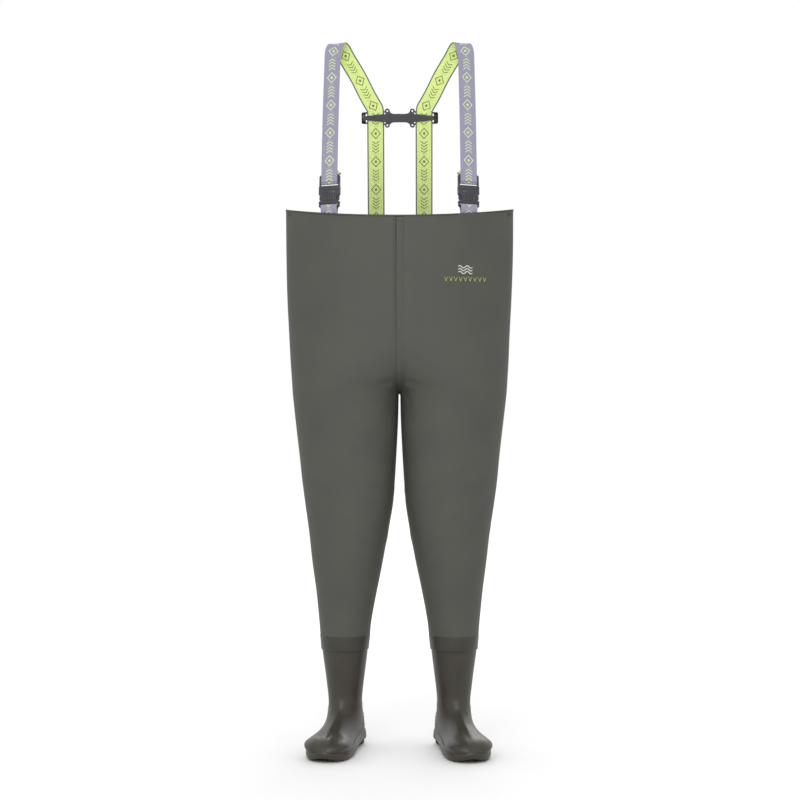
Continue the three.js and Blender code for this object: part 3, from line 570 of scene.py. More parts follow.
def two_skins(name, outer, inner, closed, materials, open_rows=(0, 0)):
    """A sheet with an outer and an inner skin, joined along its free edges. Rows from open_rows[0] up to
    open_rows[1] also have free side edges."""
    rows, columns = outer.shape[:2]
    points = np.concatenate([outer.reshape(-1, 3), inner.reshape(-1, 3)])
    span = columns if closed else columns - 1
    across, along = arc_lengths(outer)
    if closed:
        perimeter = np.linalg.norm(outer[:, -1] - outer[:, 0], axis=1)
    faces, uvs, skins = [], [], []

    def uv(i, j):
        if j == columns:
            return (across[i, -1] + perimeter[i], along[i, 0])
        return (across[i, j], along[i, j])

    def index(i, j, layer):
        return layer * rows * columns + i * columns + j % columns

    for layer in (0, 1):
        for i in range(rows - 1):
            for j in range(span):
                corners = [(i, j), (i, j + 1), (i + 1, j + 1), (i + 1, j)]
                if layer:
                    corners.reverse()
                faces.append([index(a, b, layer) for a, b in corners])
                uvs.append([uv(a, b) for a, b in corners])
                skins.append(layer)
    for i in (0, rows - 1):
        for j in range(span):
            corners = [(i, j, 0), (i, j + 1, 0), (i, j + 1, 1), (i, j, 1)]
            faces.append([index(*c) for c in corners])
            uvs.append([uv(a, b) for a, b, _ in corners])
            skins.append(0)
    for i in range(*open_rows):
        for j in (0, columns - 1):
            corners = [(i, j, 0), (i + 1, j, 0), (i + 1, j, 1), (i, j, 1)]
            faces.append([index(*c) for c in corners])
            uvs.append([uv(a, b) for a, b, _ in corners])
            skins.append(0)
    return make_piece(name, points, faces, uvs, materials, skins)


def closed_loft(name, rings, material):
    """A solid lofted through closed rings of points, with flat ends."""
    rings = np.array(rings, float)
    rows, columns = rings.shape[:2]
    points = rings.reshape(-1, 3)
    across, along = arc_lengths(rings)
    last_step = np.linalg.norm(rings[:, -1] - rings[:, 0], axis=1)
    faces, uvs = [], []

    def uv(i, j):
        shift = last_step[i] if j == columns else 0
        return (across[i, min(j, columns - 1)] + shift, along[i, 0])

    for i in range(rows - 1):
        for j in range(columns):
            corners = [(i, j), (i, j + 1), (i + 1, j + 1), (i + 1, j)]
            faces.append([a * columns + b % columns for a, b in corners])
            uvs.append([uv(a, b) for a, b in corners])
    for i in (0, rows - 1):
        faces.append([i * columns + j for j in range(columns)])
        uvs.append([uv(i, j) for j in range(columns)])
    return make_piece(name, points, faces, uvs, [material])


def ring_faces(grid, start, step):
    """Faces between neighbouring rings of a grid whose points begin at start, and their corners unwrapped
    with each face step millimetres wide."""
    rows, columns = grid.shape[:2]
    across, along = arc_lengths(grid)
    faces, uvs = [], []
    for i in range(rows - 1):
        low = start + i * columns
        for j in range(columns):
            k = (j + 1) % columns
            faces.append([low + j, low + k, low + columns + k, low + columns + j])
            x0, x1 = across[i, j], across[i, j] + step
            uvs.append([(x0, along[i, 0]), (x1, along[i, 0]), (x1, along[i + 1, 0]), (x0, along[i + 1, 0])])
    return faces, uvs


def add_solid(shape, rings, step):
    """Adds a small solid, made of rings with flat ends, to a shape of points, faces and unwrapped corners."""
    points, faces, uvs = shape
    rings = np.array(rings, float)
    count = rings.shape[1]
    start = len(points)
    points.extend(rings.reshape(-1, 3))
    between, unwrapped = ring_faces(rings, start, step)
    faces.extend(between)
    uvs.extend(unwrapped)
    for i in (0, len(rings) - 1):
        faces.append([start + i * count + j for j in range(count)])
        uvs.append([(p[0], p[1]) for p in rings[i]])


def through(points, samples):
    """A smooth curve (Catmull-Rom) through rows of numbers, sampled evenly between each pair."""
    points = np.array(points, float)
    padded = np.vstack([2 * points[0] - points[1], points, 2 * points[-1] - points[-2]])
    result = []
    for i in range(len(points) - 1):
        a, b, c, d = padded[i : i + 4]
        for k in range(samples):
            t = k / samples
            bend = (2 * a - 5 * b + 4 * c - d) * t**2 + (3 * b - a - 3 * c + d) * t**3
            result.append(0.5 * (2 * b + (c - a) * t + bend))
    result.append(points[-1])
    return np.array(result)


# ---------------------------------------------------------------- trouser fabric


def profile(table, z):
    """Outer side, inner side, half depth and crease at a height: a cubic through the table's rows."""
    i = 0
    while i < len(table) - 2 and z > table[i + 1][0]:
        i += 1
    a, b = table[i], table[i + 1]
    before, after = table[max(i - 1, 0)], table[min(i + 2, len(table) - 1)]
    span = b[0] - a[0]
    t = min(max((z - a[0]) / span, 0), 1)
    values = []
    for k in range(1, len(a)):
        slope_a = (b[k] - before[k]) / (b[0] - before[0]) * span
        slope_b = (after[k] - a[k]) / (after[0] - a[0]) * span
        values.append(
            a[k] * (2 * t**3 - 3 * t**2 + 1)
            + slope_a * (t**3 - 2 * t**2 + t)
            + b[k] * (3 * t**2 - 2 * t**3)
            + slope_b * (t**3 - t**2)
        )
    return values


def fabric_row(z, columns=COLUMNS, out=0.0):
    """One row round a leg, or round a trouser half from the front seam by the outer side to the back."""
    outer, inner, depth, crease = profile(TORSO if z > CROTCH else LEG, z)
    if z > CROTCH:
        inner = min(inner, 0.0)
    else:
        inner += 1.1 * smooth_step((CROTCH - z) / 5) * smooth_step((z - 560) / 60)
    centre, half, depth = (outer + inner) / 2, (outer - inner) / 2 + out, depth + out
    end = math.acos(min(max((SEAM_GAP - centre) / half, -1), 1)) if z > CROTCH else math.pi
    turn = np.linspace(-end, end, columns + 1)
    x = centre + half * np.cos(turn)
    y = np.sign(turn) * depth * np.abs(np.sin(turn)) ** crease
    drop = RIM_DIP * np.abs(np.cos(np.pi * np.linspace(0, 1, columns + 1))) ** 1.5
    height = z - drop * smooth_step((z - 1080) / (RIM_HEIGHT - 1080))
    return np.stack([x, y, np.broadcast_to(height, x.shape)], axis=1)


def wall_depth(x, z, out=0.0):
    """Distance of the torso's wall from the middle plane, at a place across and a height."""
    outer, inner, depth, crease = profile(TORSO, z)
    centre, half = (outer + inner) / 2, (outer - inner) / 2 + out
    share = (x - centre) / half
    return (depth + out) * max(1 - share * share, 0) ** (crease / 2)


# Creases of the fabric: start, end, half width, height (below 0 is a valley), all on the left side.
CREASES = [
    ((12, -66, 862), (44, -90, 836), 6, -3.4),
    ((9, -52, 850), (36, -86, 826), 6, 3.0),
    ((7, -34, 832), (26, -74, 792), 7, -2.4),
    ((9, -46, 806), (30, -80, 752), 8, -2.0),
    ((24, -70, 806), (50, -88, 750), 10, 1.6),
    ((3, 36, 829), (60, 92, 872), 8, 2.0),
    ((4, 30, 820), (56, 84, 784), 8, 1.6),
    ((3, 44, 830), (80, 96, 846), 7, -1.4),
    ((263, -14, 1246), (246, -34, 1226), 5, -4.5),
    ((262, -22, 1226), (236, -44, 1204), 7, 1.6),
    ((263, 14, 1246), (246, 34, 1226), 5, -4.0),
    ((15, -6, 597), (70, -62, 612), 9, 2.2),
    ((16, -4, 584), (66, -58, 574), 8, -1.8),
    ((28, 0, 497), (90, -66, 512), 9, 1.8),
    ((30, 2, 486), (88, 62, 478), 9, 2.0),
    ((208, 10, 512), (160, 70, 530), 11, 1.8),
    ((64, -18, 300), (120, -62, 312), 8, 1.5),
    ((184, -14, 286), (134, -60, 296), 7, -1.3),
    ((70, 20, 281), (128, 62, 292), 8, 1.6),
]


def relief(points, normals, side):
    """Moves points of the fabric along its normals: creases, and the slow waviness of a hung garment."""
    moved = np.zeros(len(points))
    for start, end, width, height in CREASES:
        start, end = np.array(start, float), np.array(end, float)
        line = end - start
        share = np.clip((points - start) @ line / (line @ line), 0, 1)
        distance = np.linalg.norm(points - (start + share[:, None] * line), axis=1)
        fade = np.sin(np.pi * np.clip(0.12 + 0.83 * share, 0, 1))
        strength = height * (0.85 if side < 0 else 1.0)
        moved += strength * fade * np.exp(-((distance / width) ** 2))
    seed = 40.0 if side > 0 else 90.0
    for k, (x, y, z) in enumerate(points):
        slow = noise.noise((x / 95 + seed, y / 95, z / 210))
        long = noise.noise((x / 42, y / 42 + seed, z / 330))
        moved[k] += 1.5 * slow + 0.8 * long
    seam = np.clip(points[:, 0] / 14, 0, 1)
    above = points[:, 2] > CROTCH - 10
    moved *= np.where(above, smooth_step(seam), 1.0)
    top = smooth_step((RIM_HEIGHT + 2 - points[:, 2]) / 14)
    hem = smooth_step((points[:, 2] - 264) / 22)
    valley = -2.2 * np.exp(-((points[:, 0] / 8.5) ** 4)) * smooth_step((points[:, 2] - CROTCH - 2) / 16)
    return points + normals * (moved * (0.35 + 0.65 * top) * hem + valley)[:, None]


def row_heights(low, high, spacing):
    return np.linspace(low, high, max(2, round((high - low) / spacing) + 1))


def fabric_grids(heights, side):
    """Outer and inner skins of a length of trouser half."""
    rows = np.array([fabric_row(z) for z in heights])
    normals = grid_normals(rows, False)
    below = heights <= CROTCH
    joined = (normals[below, 0] + normals[below, -1]) / 2
    joined /= np.maximum(np.linalg.norm(joined, axis=1, keepdims=True), 1e-9)
    normals[below, 0] = normals[below, -1] = joined
    flat = relief(rows.reshape(-1, 3), normals.reshape(-1, 3), side)
    outer = flat.reshape(rows.shape)
    inner = outer - normals * FABRIC
    for grid in (outer, inner):
        grid[below, -1] = grid[below, 0]
        above = ~below
        grid[above, 0, 0] = grid[above, -1, 0] = SEAM_GAP
        grid[..., 0] *= side
    return outer, inner


def trouser_half(name, side):
    """The upper length of one half: torso, seat and thigh in one piece of fabric. Its rows lie closest at the
    crotch, where the fabric turns sharply."""
    heights = np.concatenate(
        [
            row_heights(MID_THIGH, 790, 7.5)[:-1],
            row_heights(790, 814, 4)[:-1],
            [814, 817, 819, 821, 822, CROTCH, 824.5, 827, 830, 834, 838, 842, 847, 852, 857],
            row_heights(862, 1195, 7)[:-1],
            row_heights(1195, RIM_HEIGHT, 3.5),
        ]
    )
    outer, inner = fabric_grids(heights, side)
    first_open = int(np.sum(heights <= CROTCH)) - 1
    half = two_skins(
        f"waders_upper_{name}", outer, inner, False, [FABRIC_SKIN, LINING], (first_open, len(heights) - 1)
    )
    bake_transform(half)
    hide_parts(f"torso_panel_{name}", f"hip_sleeve_{name}")


def lower_leg(name, side):
    """The lower length of one leg, from the middle of the thigh to its hem over the boot."""
    heights = row_heights(LEG_HEM, MID_THIGH + 0.15, 7.5)
    outer, inner = fabric_grids(heights, side)
    leg = two_skins(f"waders_lower_{name}", outer, inner, False, [FABRIC_SKIN, LINING])
    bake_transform(leg)
    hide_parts(f"thigh_panel_{name}", f"knee_sleeve_{name}", f"shin_panel_{name}")


def weld_band(name, side):
    """The band welded over the hem of the leg and the top of the boot, a little proud at both edges."""
    section = [
        (0.1, 229), (0.5, 229.5), (0.7, 231), (0.6, 240), (0.6, 252), (0.7, 260.5), (0.45, 262), (0.0, 262.5),
    ]
    outer = np.array([fabric_row(z, out=out + 0.2) for out, z in section])[:, :-1]
    inner = np.array([fabric_row(z, out=0.1) for _, z in section])[:, :-1]
    for grid in (outer, inner):
        grid[..., 0] *= side
    band = two_skins(f"weld_band_skin_{name}", outer, inner, True, [BAND_SKIN, BAND_SKIN])
    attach(band, f"lower_leg_{name}")
    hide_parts(f"weld_band_{name}")


def rim_ring(out, drop):
    """Points right round the rim, some way out from the fabric and below its edge."""
    half = fabric_row(RIM_HEIGHT, out=out)
    half[:, 2] -= drop
    other = half[::-1].copy()
    other[:, 0] *= -1
    return np.vstack([half, other])


def rim_hem():
    """The rim's fold: fabric turned over and welded down, rounded on top."""
    section = [
        (0.05, 3.4), (0.4, 3.2), (0.55, 2.6), (0.55, 0.6), (0.4, -0.4), (0, -0.9), (-0.5, -1.0),
        (-1.2, -0.8), (-1.6, -0.2), (-1.75, 0.8), (-1.75, 8.0), (-1.6, 9.0), (-0.95, 9.0), (-0.9, 0.3),
        (0.0, 0.3),
    ]
    grid = np.array([rim_ring(out, drop) for out, drop in section + section[:1]])
    faces, uvs = ring_faces(grid, 0, 5)
    hem = make_piece("rim_hem", grid.reshape(-1, 3), faces, uvs, [TAPE_SKIN])
    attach(hem, "torso")
    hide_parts("rim_binding")


def seam_line(out):
    """Places down the middle of the front, under the crotch and up the back, on the fabric's outside."""
    heights = [*np.linspace(1225, 900, 34), 885, 870, 857, 849, 842, 836, 831, 828]
    front = [(0, -wall_depth(0, z, out), z) for z in heights]
    under = [(0, 0, CROTCH - 0.4 - out)]
    back = [(x, -y, z) for x, y, z in reversed(front)]
    return front + under + back


def rise_seam():
    """The lapped and welded seam that joins the halves: a low flat lap, with a groove along its edge."""
    line = np.array(seam_line(0.1))
    along = np.gradient(line, axis=0)
    along /= np.linalg.norm(along, axis=1, keepdims=True)
    outward = np.cross(along, (1.0, 0.0, 0.0))
    section = [
        (-12, -0.6), (-11.5, -0.1), (-9.4, 0.3), (-8.2, 0.25), (-7.5, -1.9), (-5.3, -1.9), (-4.8, 0.6),
        (-4.2, 0.9), (0, 0.8), (5.5, 0.6), (8.0, 0.3), (10.0, -0.1), (11.5, -0.25), (12, -0.6),
        (8.5, -1.2), (6.5, -2.3), (-8.0, -2.3), (-9.6, -1.0),
    ]
    rings = [[p + np.array((w, 0, 0)) + n * h for w, h in section] for p, n in zip(line, outward)]
    welt = closed_loft("rise_seam_welt", rings, FABRIC_SKIN)
    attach(welt, "torso")


# ---------------------------------------------------------------- boots


def boot_place(side):
    """From the boot's own frame (towards the big toe, forward, up) to the garment's."""
    c, s = math.cos(TOE_OUT), math.sin(TOE_OUT)

    def place(points):
        points = np.asarray(points, float)
        u, f, z = points[..., 0], points[..., 1], points[..., 2]
        return np.stack([side * (ANKLE_X - u * c + f * s), -u * s - f * c, z], axis=-1)

    return place


def boot_grid(inset, columns=64, samples=5):
    """Rings of the boot in its own frame, from the shaft's rim round the heel to the toe."""
    rings = []
    for front_f, front_z, back_f, back_z, half_width, shift, flat in through(BOOT_RINGS, samples):
        middle = np.array([(front_f + back_f) / 2, (front_z + back_z) / 2])
        reach = np.array([front_f - back_f, front_z - back_z]) / 2
        half_height = np.linalg.norm(reach)
        direction = reach / half_height
        angle = np.linspace(0, 2 * math.pi, columns, endpoint=False)
        power = np.where(np.sin(angle) < 0, 2 / flat, 1.0)
        u = np.sign(np.cos(angle)) * np.abs(np.cos(angle)) ** power * (half_width - inset)
        v = np.sign(np.sin(angle)) * np.abs(np.sin(angle)) ** power * (half_height - inset)
        f, z = (middle[k] + direction[k] * v for k in (0, 1))
        rings.append(np.stack([shift + u, f, z], axis=1))
    return np.array(rings)


def near_line(points, start, end):
    """Distance of each point from a straight line between two places."""
    start, end = np.array(start, float), np.array(end, float)
    line = end - start
    share = np.clip((points - start) @ line / (line @ line), 0, 1)
    return np.linalg.norm(points - (start + share[..., None] * line), axis=-1)


def boot_relief(grid):
    """Moulded detail: side panels, heel counter in two steps with ridges, ridge down the instep."""
    u, f, z = grid[..., 0], grid[..., 1], grid[..., 2]
    foot = 1 - smooth_step((z - 105) / 20)
    counter_edge = -6 - 0.42 * (z - 24)
    counter = smooth_step((counter_edge - f) / 3) * smooth_step((96 - z) / 3) * foot
    ridges = sum(np.exp(-(((z - level) / 1.4) ** 2)) for level in (48, 57, 66, 75))
    heel_cup = smooth_step((42 - z) / 2.5) * smooth_step((6 - f) / 4)
    panel_top = 94 + 0.17 * (45 - f)
    panel = smooth_step((np.abs(u) - 13) / 4) * smooth_step((panel_top - z) / 3.5) * smooth_step((f + 56) / 4)
    instep = np.exp(-((u / 5.0) ** 2)) * smooth_step((f - 56) / 14) * smooth_step((190 - f) / 26) * foot
    moved = 1.2 * counter + 0.7 * ridges * counter + 0.9 * heel_cup + 1.0 * panel + 0.9 * instep
    for hand in (-1, 1):
        crease = near_line(grid, (hand * 5, 52, 92), (hand * 27, 30, 97))
        moved -= 1.4 * np.exp(-((crease / 3.2) ** 2))
        fold = near_line(grid, (hand * 4, 47, 106), (hand * 24, 26, 108))
        moved += 1.0 * np.exp(-((fold / 5.0) ** 2))
    mould_line = np.exp(-((u / 0.9) ** 2)) * 0.3
    return moved + mould_line


def boot(name, side):
    """One boot: outer and inner skin, with the lining's skin stopping short of the toe."""
    place = boot_place(side)
    base = boot_grid(0)
    normals = grid_normals(base, True)
    outward = base - base.mean(axis=1, keepdims=True)
    normals *= np.sign(np.sum(normals * outward, axis=2, keepdims=True))
    outer = base + normals * boot_relief(base)[..., None]
    inner = boot_grid(BOOT_WALL)[:-4]
    points = np.concatenate([place(skin).reshape(-1, 3) for skin in (outer, inner)])
    rows, columns = outer.shape[:2]
    faces, uvs, skins = [], [], []
    for layer, skin in enumerate((outer, inner)):
        start = layer * rows * columns
        walls, unwrapped = ring_faces(skin, start, 4)
        toe = start + (len(skin) - 1) * columns
        faces += walls + [[toe + j for j in range(columns)]]
        uvs += unwrapped + [[(4 * j, 0) for j in range(columns)]]
        skins += [layer] * (len(walls) + 1)
    for j in range(columns):
        k = (j + 1) % columns
        faces.append([j, k, rows * columns + k, rows * columns + j])
        uvs.append([(4 * j, 0), (4 * j + 4, 0), (4 * j + 4, 3), (4 * j, 3)])
        skins.append(0)
    piece = make_piece(f"boot_{name}", points, faces, uvs, [BOOT_SKIN, LINING], skins)
    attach(piece, f"lower_leg_{name}")
    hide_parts(f"boot_upper_{name}")


def foot_rand(name, side):
    """The rand: a band of the boot's own PVC round the foot, from the cleats up over the sole's edge."""
    place = boot_place(side)
    stations = through(SOLE_STATIONS, 4)
    forward, half, shift, top, low = stations.T
    outline = np.concatenate([
        np.stack([shift + half, forward, top, low], axis=1),
        np.stack([shift - half, forward, top, low], axis=1)[::-1],
    ])
    along = np.roll(outline[:, :2], -1, axis=0) - np.roll(outline[:, :2], 1, axis=0)
    along /= np.linalg.norm(along, axis=1, keepdims=True)
    outward = np.stack([-along[:, 1], along[:, 0]], axis=1)
    outward *= np.sign(np.sum(outward * (outline[:, :2] - (0, 70)), axis=1, keepdims=True))
    lean = 1.2 + 4.5 * smooth_step((outline[:, 1] - 176) / 34)
    # out from the sole's edge, up from the underside as a share of the fall, share of the way to the lip
    section = [
        (-4.5, -1.0, 0.0), (-2.4, -0.8, 0.0), (-0.5, -0.3, 0.0), (0.8, 0.5, 0.0), (1.5, 0.9, 0.15),
        (1.6, 0.0, 0.35), (1.2, 0.0, 0.75), (0.5, 0.0, 0.95), (-0.6, 0.0, 1.0), (-2.6, 0.0, 1.0),
    ]
    fall = 4.4 * smooth_step((outline[:, 1] - 34) / 40)  # it reaches lower at the forefoot
    skins = [[], []]
    for out, over_low, share in section:
        low_edge = outline[:, 3] + 0.6 + over_low * (0.6 + fall)
        height = low_edge * (1 - share) + (outline[:, 2] + 12.5) * share
        for skin, thick in zip(skins, (0.0, 3.2)):
            reach = out - thick - lean * share**2
            flat = outline[:, :2] + outward * reach[:, None]
            skin.append(np.column_stack([flat, height]))
    rand = two_skins(f"foot_rand_{name}", place(skins[0]), place(skins[1]), True, [BOOT_SKIN, BOOT_SKIN])
    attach(rand, f"lower_leg_{name}")


def sole_section(half, shift, top, low, forward):
    """Cross-section of the sole plate, with rounded corners."""
    r = min(1.6, (top - low) / 2.2, half / 3)
    corners = []
    centres = ((half - r, top - r), (-half + r, top - r), (-half + r, low + r), (half - r, low + r))
    for (cx, cz), first in zip(centres, (0, 90, 180, 270)):
        for step in (0, 30, 60, 90):
            a = math.radians(first + step)
            corners.append((shift + cx + r * math.cos(a), forward, cz + r * math.sin(a)))
    return corners


def lug(centre_u, centre_f, half_u, half_f, high):
    """One cleat: a block with cut corners that narrows a little towards the ground."""
    cut = 1.2
    rings = []
    for level, grow in ((0.0, -1.4), (0.9, -0.6), (high, 0.6)):
        u, f = half_u + grow, half_f + grow
        corners = [(u, cut - f), (u, f - cut), (u - cut, f), (cut - u, f)]
        corners += [(-u, f - cut), (-u, cut - f), (cut - u, -f), (u - cut, -f)]
        rings.append([(centre_u + across, centre_f + forward, level) for across, forward in corners])
    return rings


def outsole(name, side):
    """The rubber sole plate inside the rand, and its cleats."""
    place = boot_place(side)
    stations = through(SOLE_STATIONS, 4)
    rings = [sole_section(half - 1.2, shift, top, low, f) for f, half, shift, top, low in stations]
    plate = closed_loft(f"outsole_plate_{name}", place(rings), SOLE_SKIN)
    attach(plate, f"lower_leg_{name}")
    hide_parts(f"outsole_{name}")
    table = np.array(SOLE_STATIONS)
    shape = ([], [], [])
    for group in (HEEL_LUGS, FORE_LUGS):
        for row in group["rows"]:
            half, shift, low = (np.interp(row, table[:, 0], table[:, k]) for k in (1, 2, 4))
            for column in group["columns"]:
                reach = min(group["width"] / 2, half - 2 - abs(column))
                if reach >= 3:
                    block = lug(shift + column, row, reach, group["length"] / 2, low + 1.5)
                    add_solid(shape, place(block), 3)
    cleats = make_piece(f"outsole_cleats_{name}", *shape, [SOLE_SKIN])
    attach(cleats, f"lower_leg_{name}")


def insole(name, side):
    """A die-cut insole, cupped a little at the heel."""
    place = boot_place(side)
    # forward, half width, shift to the big toe, underside
    rows = [
        (-58, 10, 0, 31), (-54, 20, 0, 30.5), (-40, 28, 0, 29.5), (0, 30, 0, 28), (45, 33, 0, 25),
        (90, 40, 1, 21.5), (130, 42, 3, 20), (158, 37, 5, 20), (176, 27, 7, 20.5), (186, 12, 8, 21),
    ]
    rings = []
    for f, half, shift, low in through(rows, 3):
        cup = 2.5 * smooth_step((10 - f) / 50)
        thick = 3.2
        right = [(0.96, cup), (1, cup + 0.6), (1, cup + thick - 0.8), (0.94, cup + thick)]
        left = [(-share, over) for share, over in reversed(right)]
        outline = [(0, 0), *right, (0, thick), *left]
        rings.append([(shift + half * share, f, low + over) for share, over in outline])
    piece = closed_loft(f"insole_pad_{name}", place(rings), LINING)
    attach(piece, f"lower_leg_{name}")
    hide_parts(f"insole_{name}")


# ---------------------------------------------------------------- braces


def unit(v):
    v = np.asarray(v, float)
    return v / np.linalg.norm(v)


def ribbon(name, stations, material, width=WEB_WIDTH, thick=WEB_THICK, start=0.0, samples=5):
    """Webbing through stations of (place, outward normal), unwrapped at its real size, with rounded edges."""
    places = through([p for p, _ in stations], samples)
    normals = through([n for _, n in stations], samples)
    along = np.gradient(places, axis=0)
    along /= np.linalg.norm(along, axis=1, keepdims=True)
    across = np.cross(along, normals)
    across /= np.linalg.norm(across, axis=1, keepdims=True)
    facing = np.cross(across, along)
    h, w = thick / 2, width / 2
    section = [(-w, 0.0), (-w + 0.25, 0.75 * h), (-w + 0.9, h)]
    section += [(w * k / 5, h) for k in range(-4, 5)]
    section += [(w - 0.9, h), (w - 0.25, 0.75 * h), (w, 0.0), (w - 0.25, -0.75 * h), (w - 0.9, -h)]
    section += [(w * k / 5, -h) for k in range(4, -5, -1)]
    section += [(-w + 0.9, -h), (-w + 0.25, -0.75 * h)]
    count = len(section)
    points = np.array([[p + a * u + n * v for u, v in section] for p, a, n in zip(places, across, facing)])
    lengths = start + np.concatenate([[0], np.cumsum(np.linalg.norm(np.diff(places, axis=0), axis=1))])
    faces, uvs = [], []
    for i in range(len(places) - 1):
        for j in range(count):
            k = (j + 1) % count
            shift = FACES_APART if min(section[j][1], section[k][1]) < 0 else 0.0
            faces.append([i * count + j, i * count + k, (i + 1) * count + k, (i + 1) * count + j])
            u0, u1 = section[j][0] + shift, section[k][0] + shift
            uvs.append([(u0, lengths[i]), (u1, lengths[i]), (u1, lengths[i + 1]), (u0, lengths[i + 1])])
    for i in (0, len(places) - 1):
        faces.append([i * count + j for j in range(count)])
        uvs.append([(section[j][0], lengths[i]) for j in range(count)])
    return make_piece(name, points.reshape(-1, 3), faces, uvs, [material]), lengths[-1]


def front_line(side):
    """The line of the front brace: origin at the rim, T up the webbing, N out of its face, W across it."""
    stack = BEHIND_PATCH + WEB_THICK
    half = WEB_WIDTH / 2
    edges = [wall_depth(BRACE_X + across, RIM_WEB_HEIGHT, -CAD_FABRIC) for across in (-half, half)]
    yaw = math.atan((edges[0] - edges[1]) / WEB_WIDTH)
    origin = np.array((side * BRACE_X, -wall_depth(BRACE_X, RIM_WEB_HEIGHT, -stack), RIM_WEB_HEIGHT))
    x, y, z, _ = BRACE_PATH[0]
    top = np.array((side * x, y, z))
    up = unit(top - origin)
    outward = np.array((side * math.sin(yaw), -math.cos(yaw), 0.0))
    width = unit(np.cross(up, outward))
    face = unit(np.cross(width, up))
    length = float(np.linalg.norm(top - origin))
    line = {"origin": origin, "top": top, "T": up, "N": face, "W": width}
    return {**line, "outward": outward, "length": length}


def on_line(line, s, n=0.0, w=0.0):
    return line["origin"] + s * line["T"] + n * line["N"] + w * line["W"]


def front_brace(name, side):
    """The stretch of elastic between the buckle and the shoulder."""
    line = front_line(side)
    run = np.linspace(STRETCH_LOW, line["length"], 9)
    stations = []
    for s in run:
        share = (s - STRETCH_LOW) / (line["length"] - STRETCH_LOW)
        bow = 2.0 * math.sin(math.pi * share)
        stations.append((on_line(line, s, OVER_BARS * (1 - share) + bow), line["N"]))
    piece, length = ribbon(f"front_webbing_{name}", stations, WEBBING)
    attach(piece, "torso")
    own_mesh(piece)
    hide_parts(f"front_strap_{name}")
    return length


def shoulder_brace(name, side, start):
    """The brace over the shoulder and down the back, to where it is sewn inside the rim."""
    line = front_line(side)
    stations = []
    for x, y, z, tilt in BRACE_PATH:
        a = math.radians(tilt)
        stations.append((np.array((side * x, y, z)), np.array((0, -math.cos(a), math.sin(a)))))
    stations[0] = (stations[0][0], line["N"])
    stations.insert(1, (stations[0][0] + 4 * line["T"], line["N"]))
    wall = wall_depth(BACK_X, RIM_WEB_HEIGHT, -(BEHIND_PATCH + WEB_THICK / 2))
    backwards = unit((side * 0.08, 1, 0))
    stations.append((np.array((side * BACK_X, wall - 2.5, RIM_WEB_HEIGHT + 14)), backwards))
    stations.append((np.array((side * BACK_X, wall, RIM_WEB_HEIGHT - 8)), backwards))
    stations.append((np.array((side * BACK_X, wall, RIM_WEB_HEIGHT - ANCHOR_REACH)), backwards))
    piece, _ = ribbon(f"shoulder_webbing_{name}", stations, WEBBING, start=start, samples=8)
    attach(piece, "torso")
    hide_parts(f"shoulder_strap_{name}")


def brace_tail(name, side):
    """The webbing's end: round the grip bar and up behind the adjuster."""
    line = front_line(side)
    turn = sum(GRIP) / 2 - 1
    stations = []
    for k in range(7):
        a = math.pi * k / 6
        normal = line["N"] * math.cos(a) - line["T"] * math.sin(a)
        stations.append((on_line(line, turn - OVER_BARS * math.sin(a), OVER_BARS * math.cos(a)), normal))
    back = -line["N"]
    stations += [
        (on_line(line, 90, -OVER_BARS), back),
        (on_line(line, BUCKLE_TOP + 1, -OVER_BARS - 0.3), back),
        (on_line(line, BUCKLE_TOP + 9, -OVER_BARS - 1.5, -side * 3), back),
        (on_line(line, BUCKLE_TOP + 17, -OVER_BARS - 3.5, -side * 9), back),
    ]
    piece, _ = ribbon(f"webbing_tail_{name}", stations, WEBBING, start=20, samples=3)
    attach(piece, f"buckle_plug_{name}")
    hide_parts(f"strap_tail_{name}")


def anchor_loop(name, side):
    """Short webbing sewn inside the front and looped round the buckle's lower bar."""
    line = front_line(side)
    layer = WEB_THICK / 2 + 0.3
    turn = sum(BAR) / 2
    radius = math.hypot(BUCKLE_FRAME, BAR[1] - BAR[0]) / 2 + 0.5 + WEB_THICK / 2

    def inside(drop, n):
        return line["origin"] + n * line["outward"] - np.array((0, 0, drop))

    front = [
        (inside(ANCHOR_REACH, layer), line["outward"]),
        (inside(4, layer), line["outward"]),
        (on_line(line, 8, layer + 0.6), line["N"]),
        (on_line(line, turn - 3, radius), line["N"]),
    ]
    over = []
    for degrees in (30, 60, 90, 120, 150):
        a = math.radians(degrees)
        normal = line["N"] * math.cos(a) + line["T"] * math.sin(a)
        over.append((on_line(line, turn + radius * math.sin(a), radius * math.cos(a)), normal))
    back = [
        (on_line(line, turn - 3, -radius), -line["N"]),
        (on_line(line, 8, -layer - 0.6), -line["N"]),
        (inside(4, -layer), -line["outward"]),
        (inside(ANCHOR_REACH, -layer), -line["outward"]),
    ]
    piece, _ = ribbon(f"anchor_webbing_{name}", front + over + back, WEBBING, start=30, samples=3)
    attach(piece, "torso")
    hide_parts(f"anchor_strap_{name}")


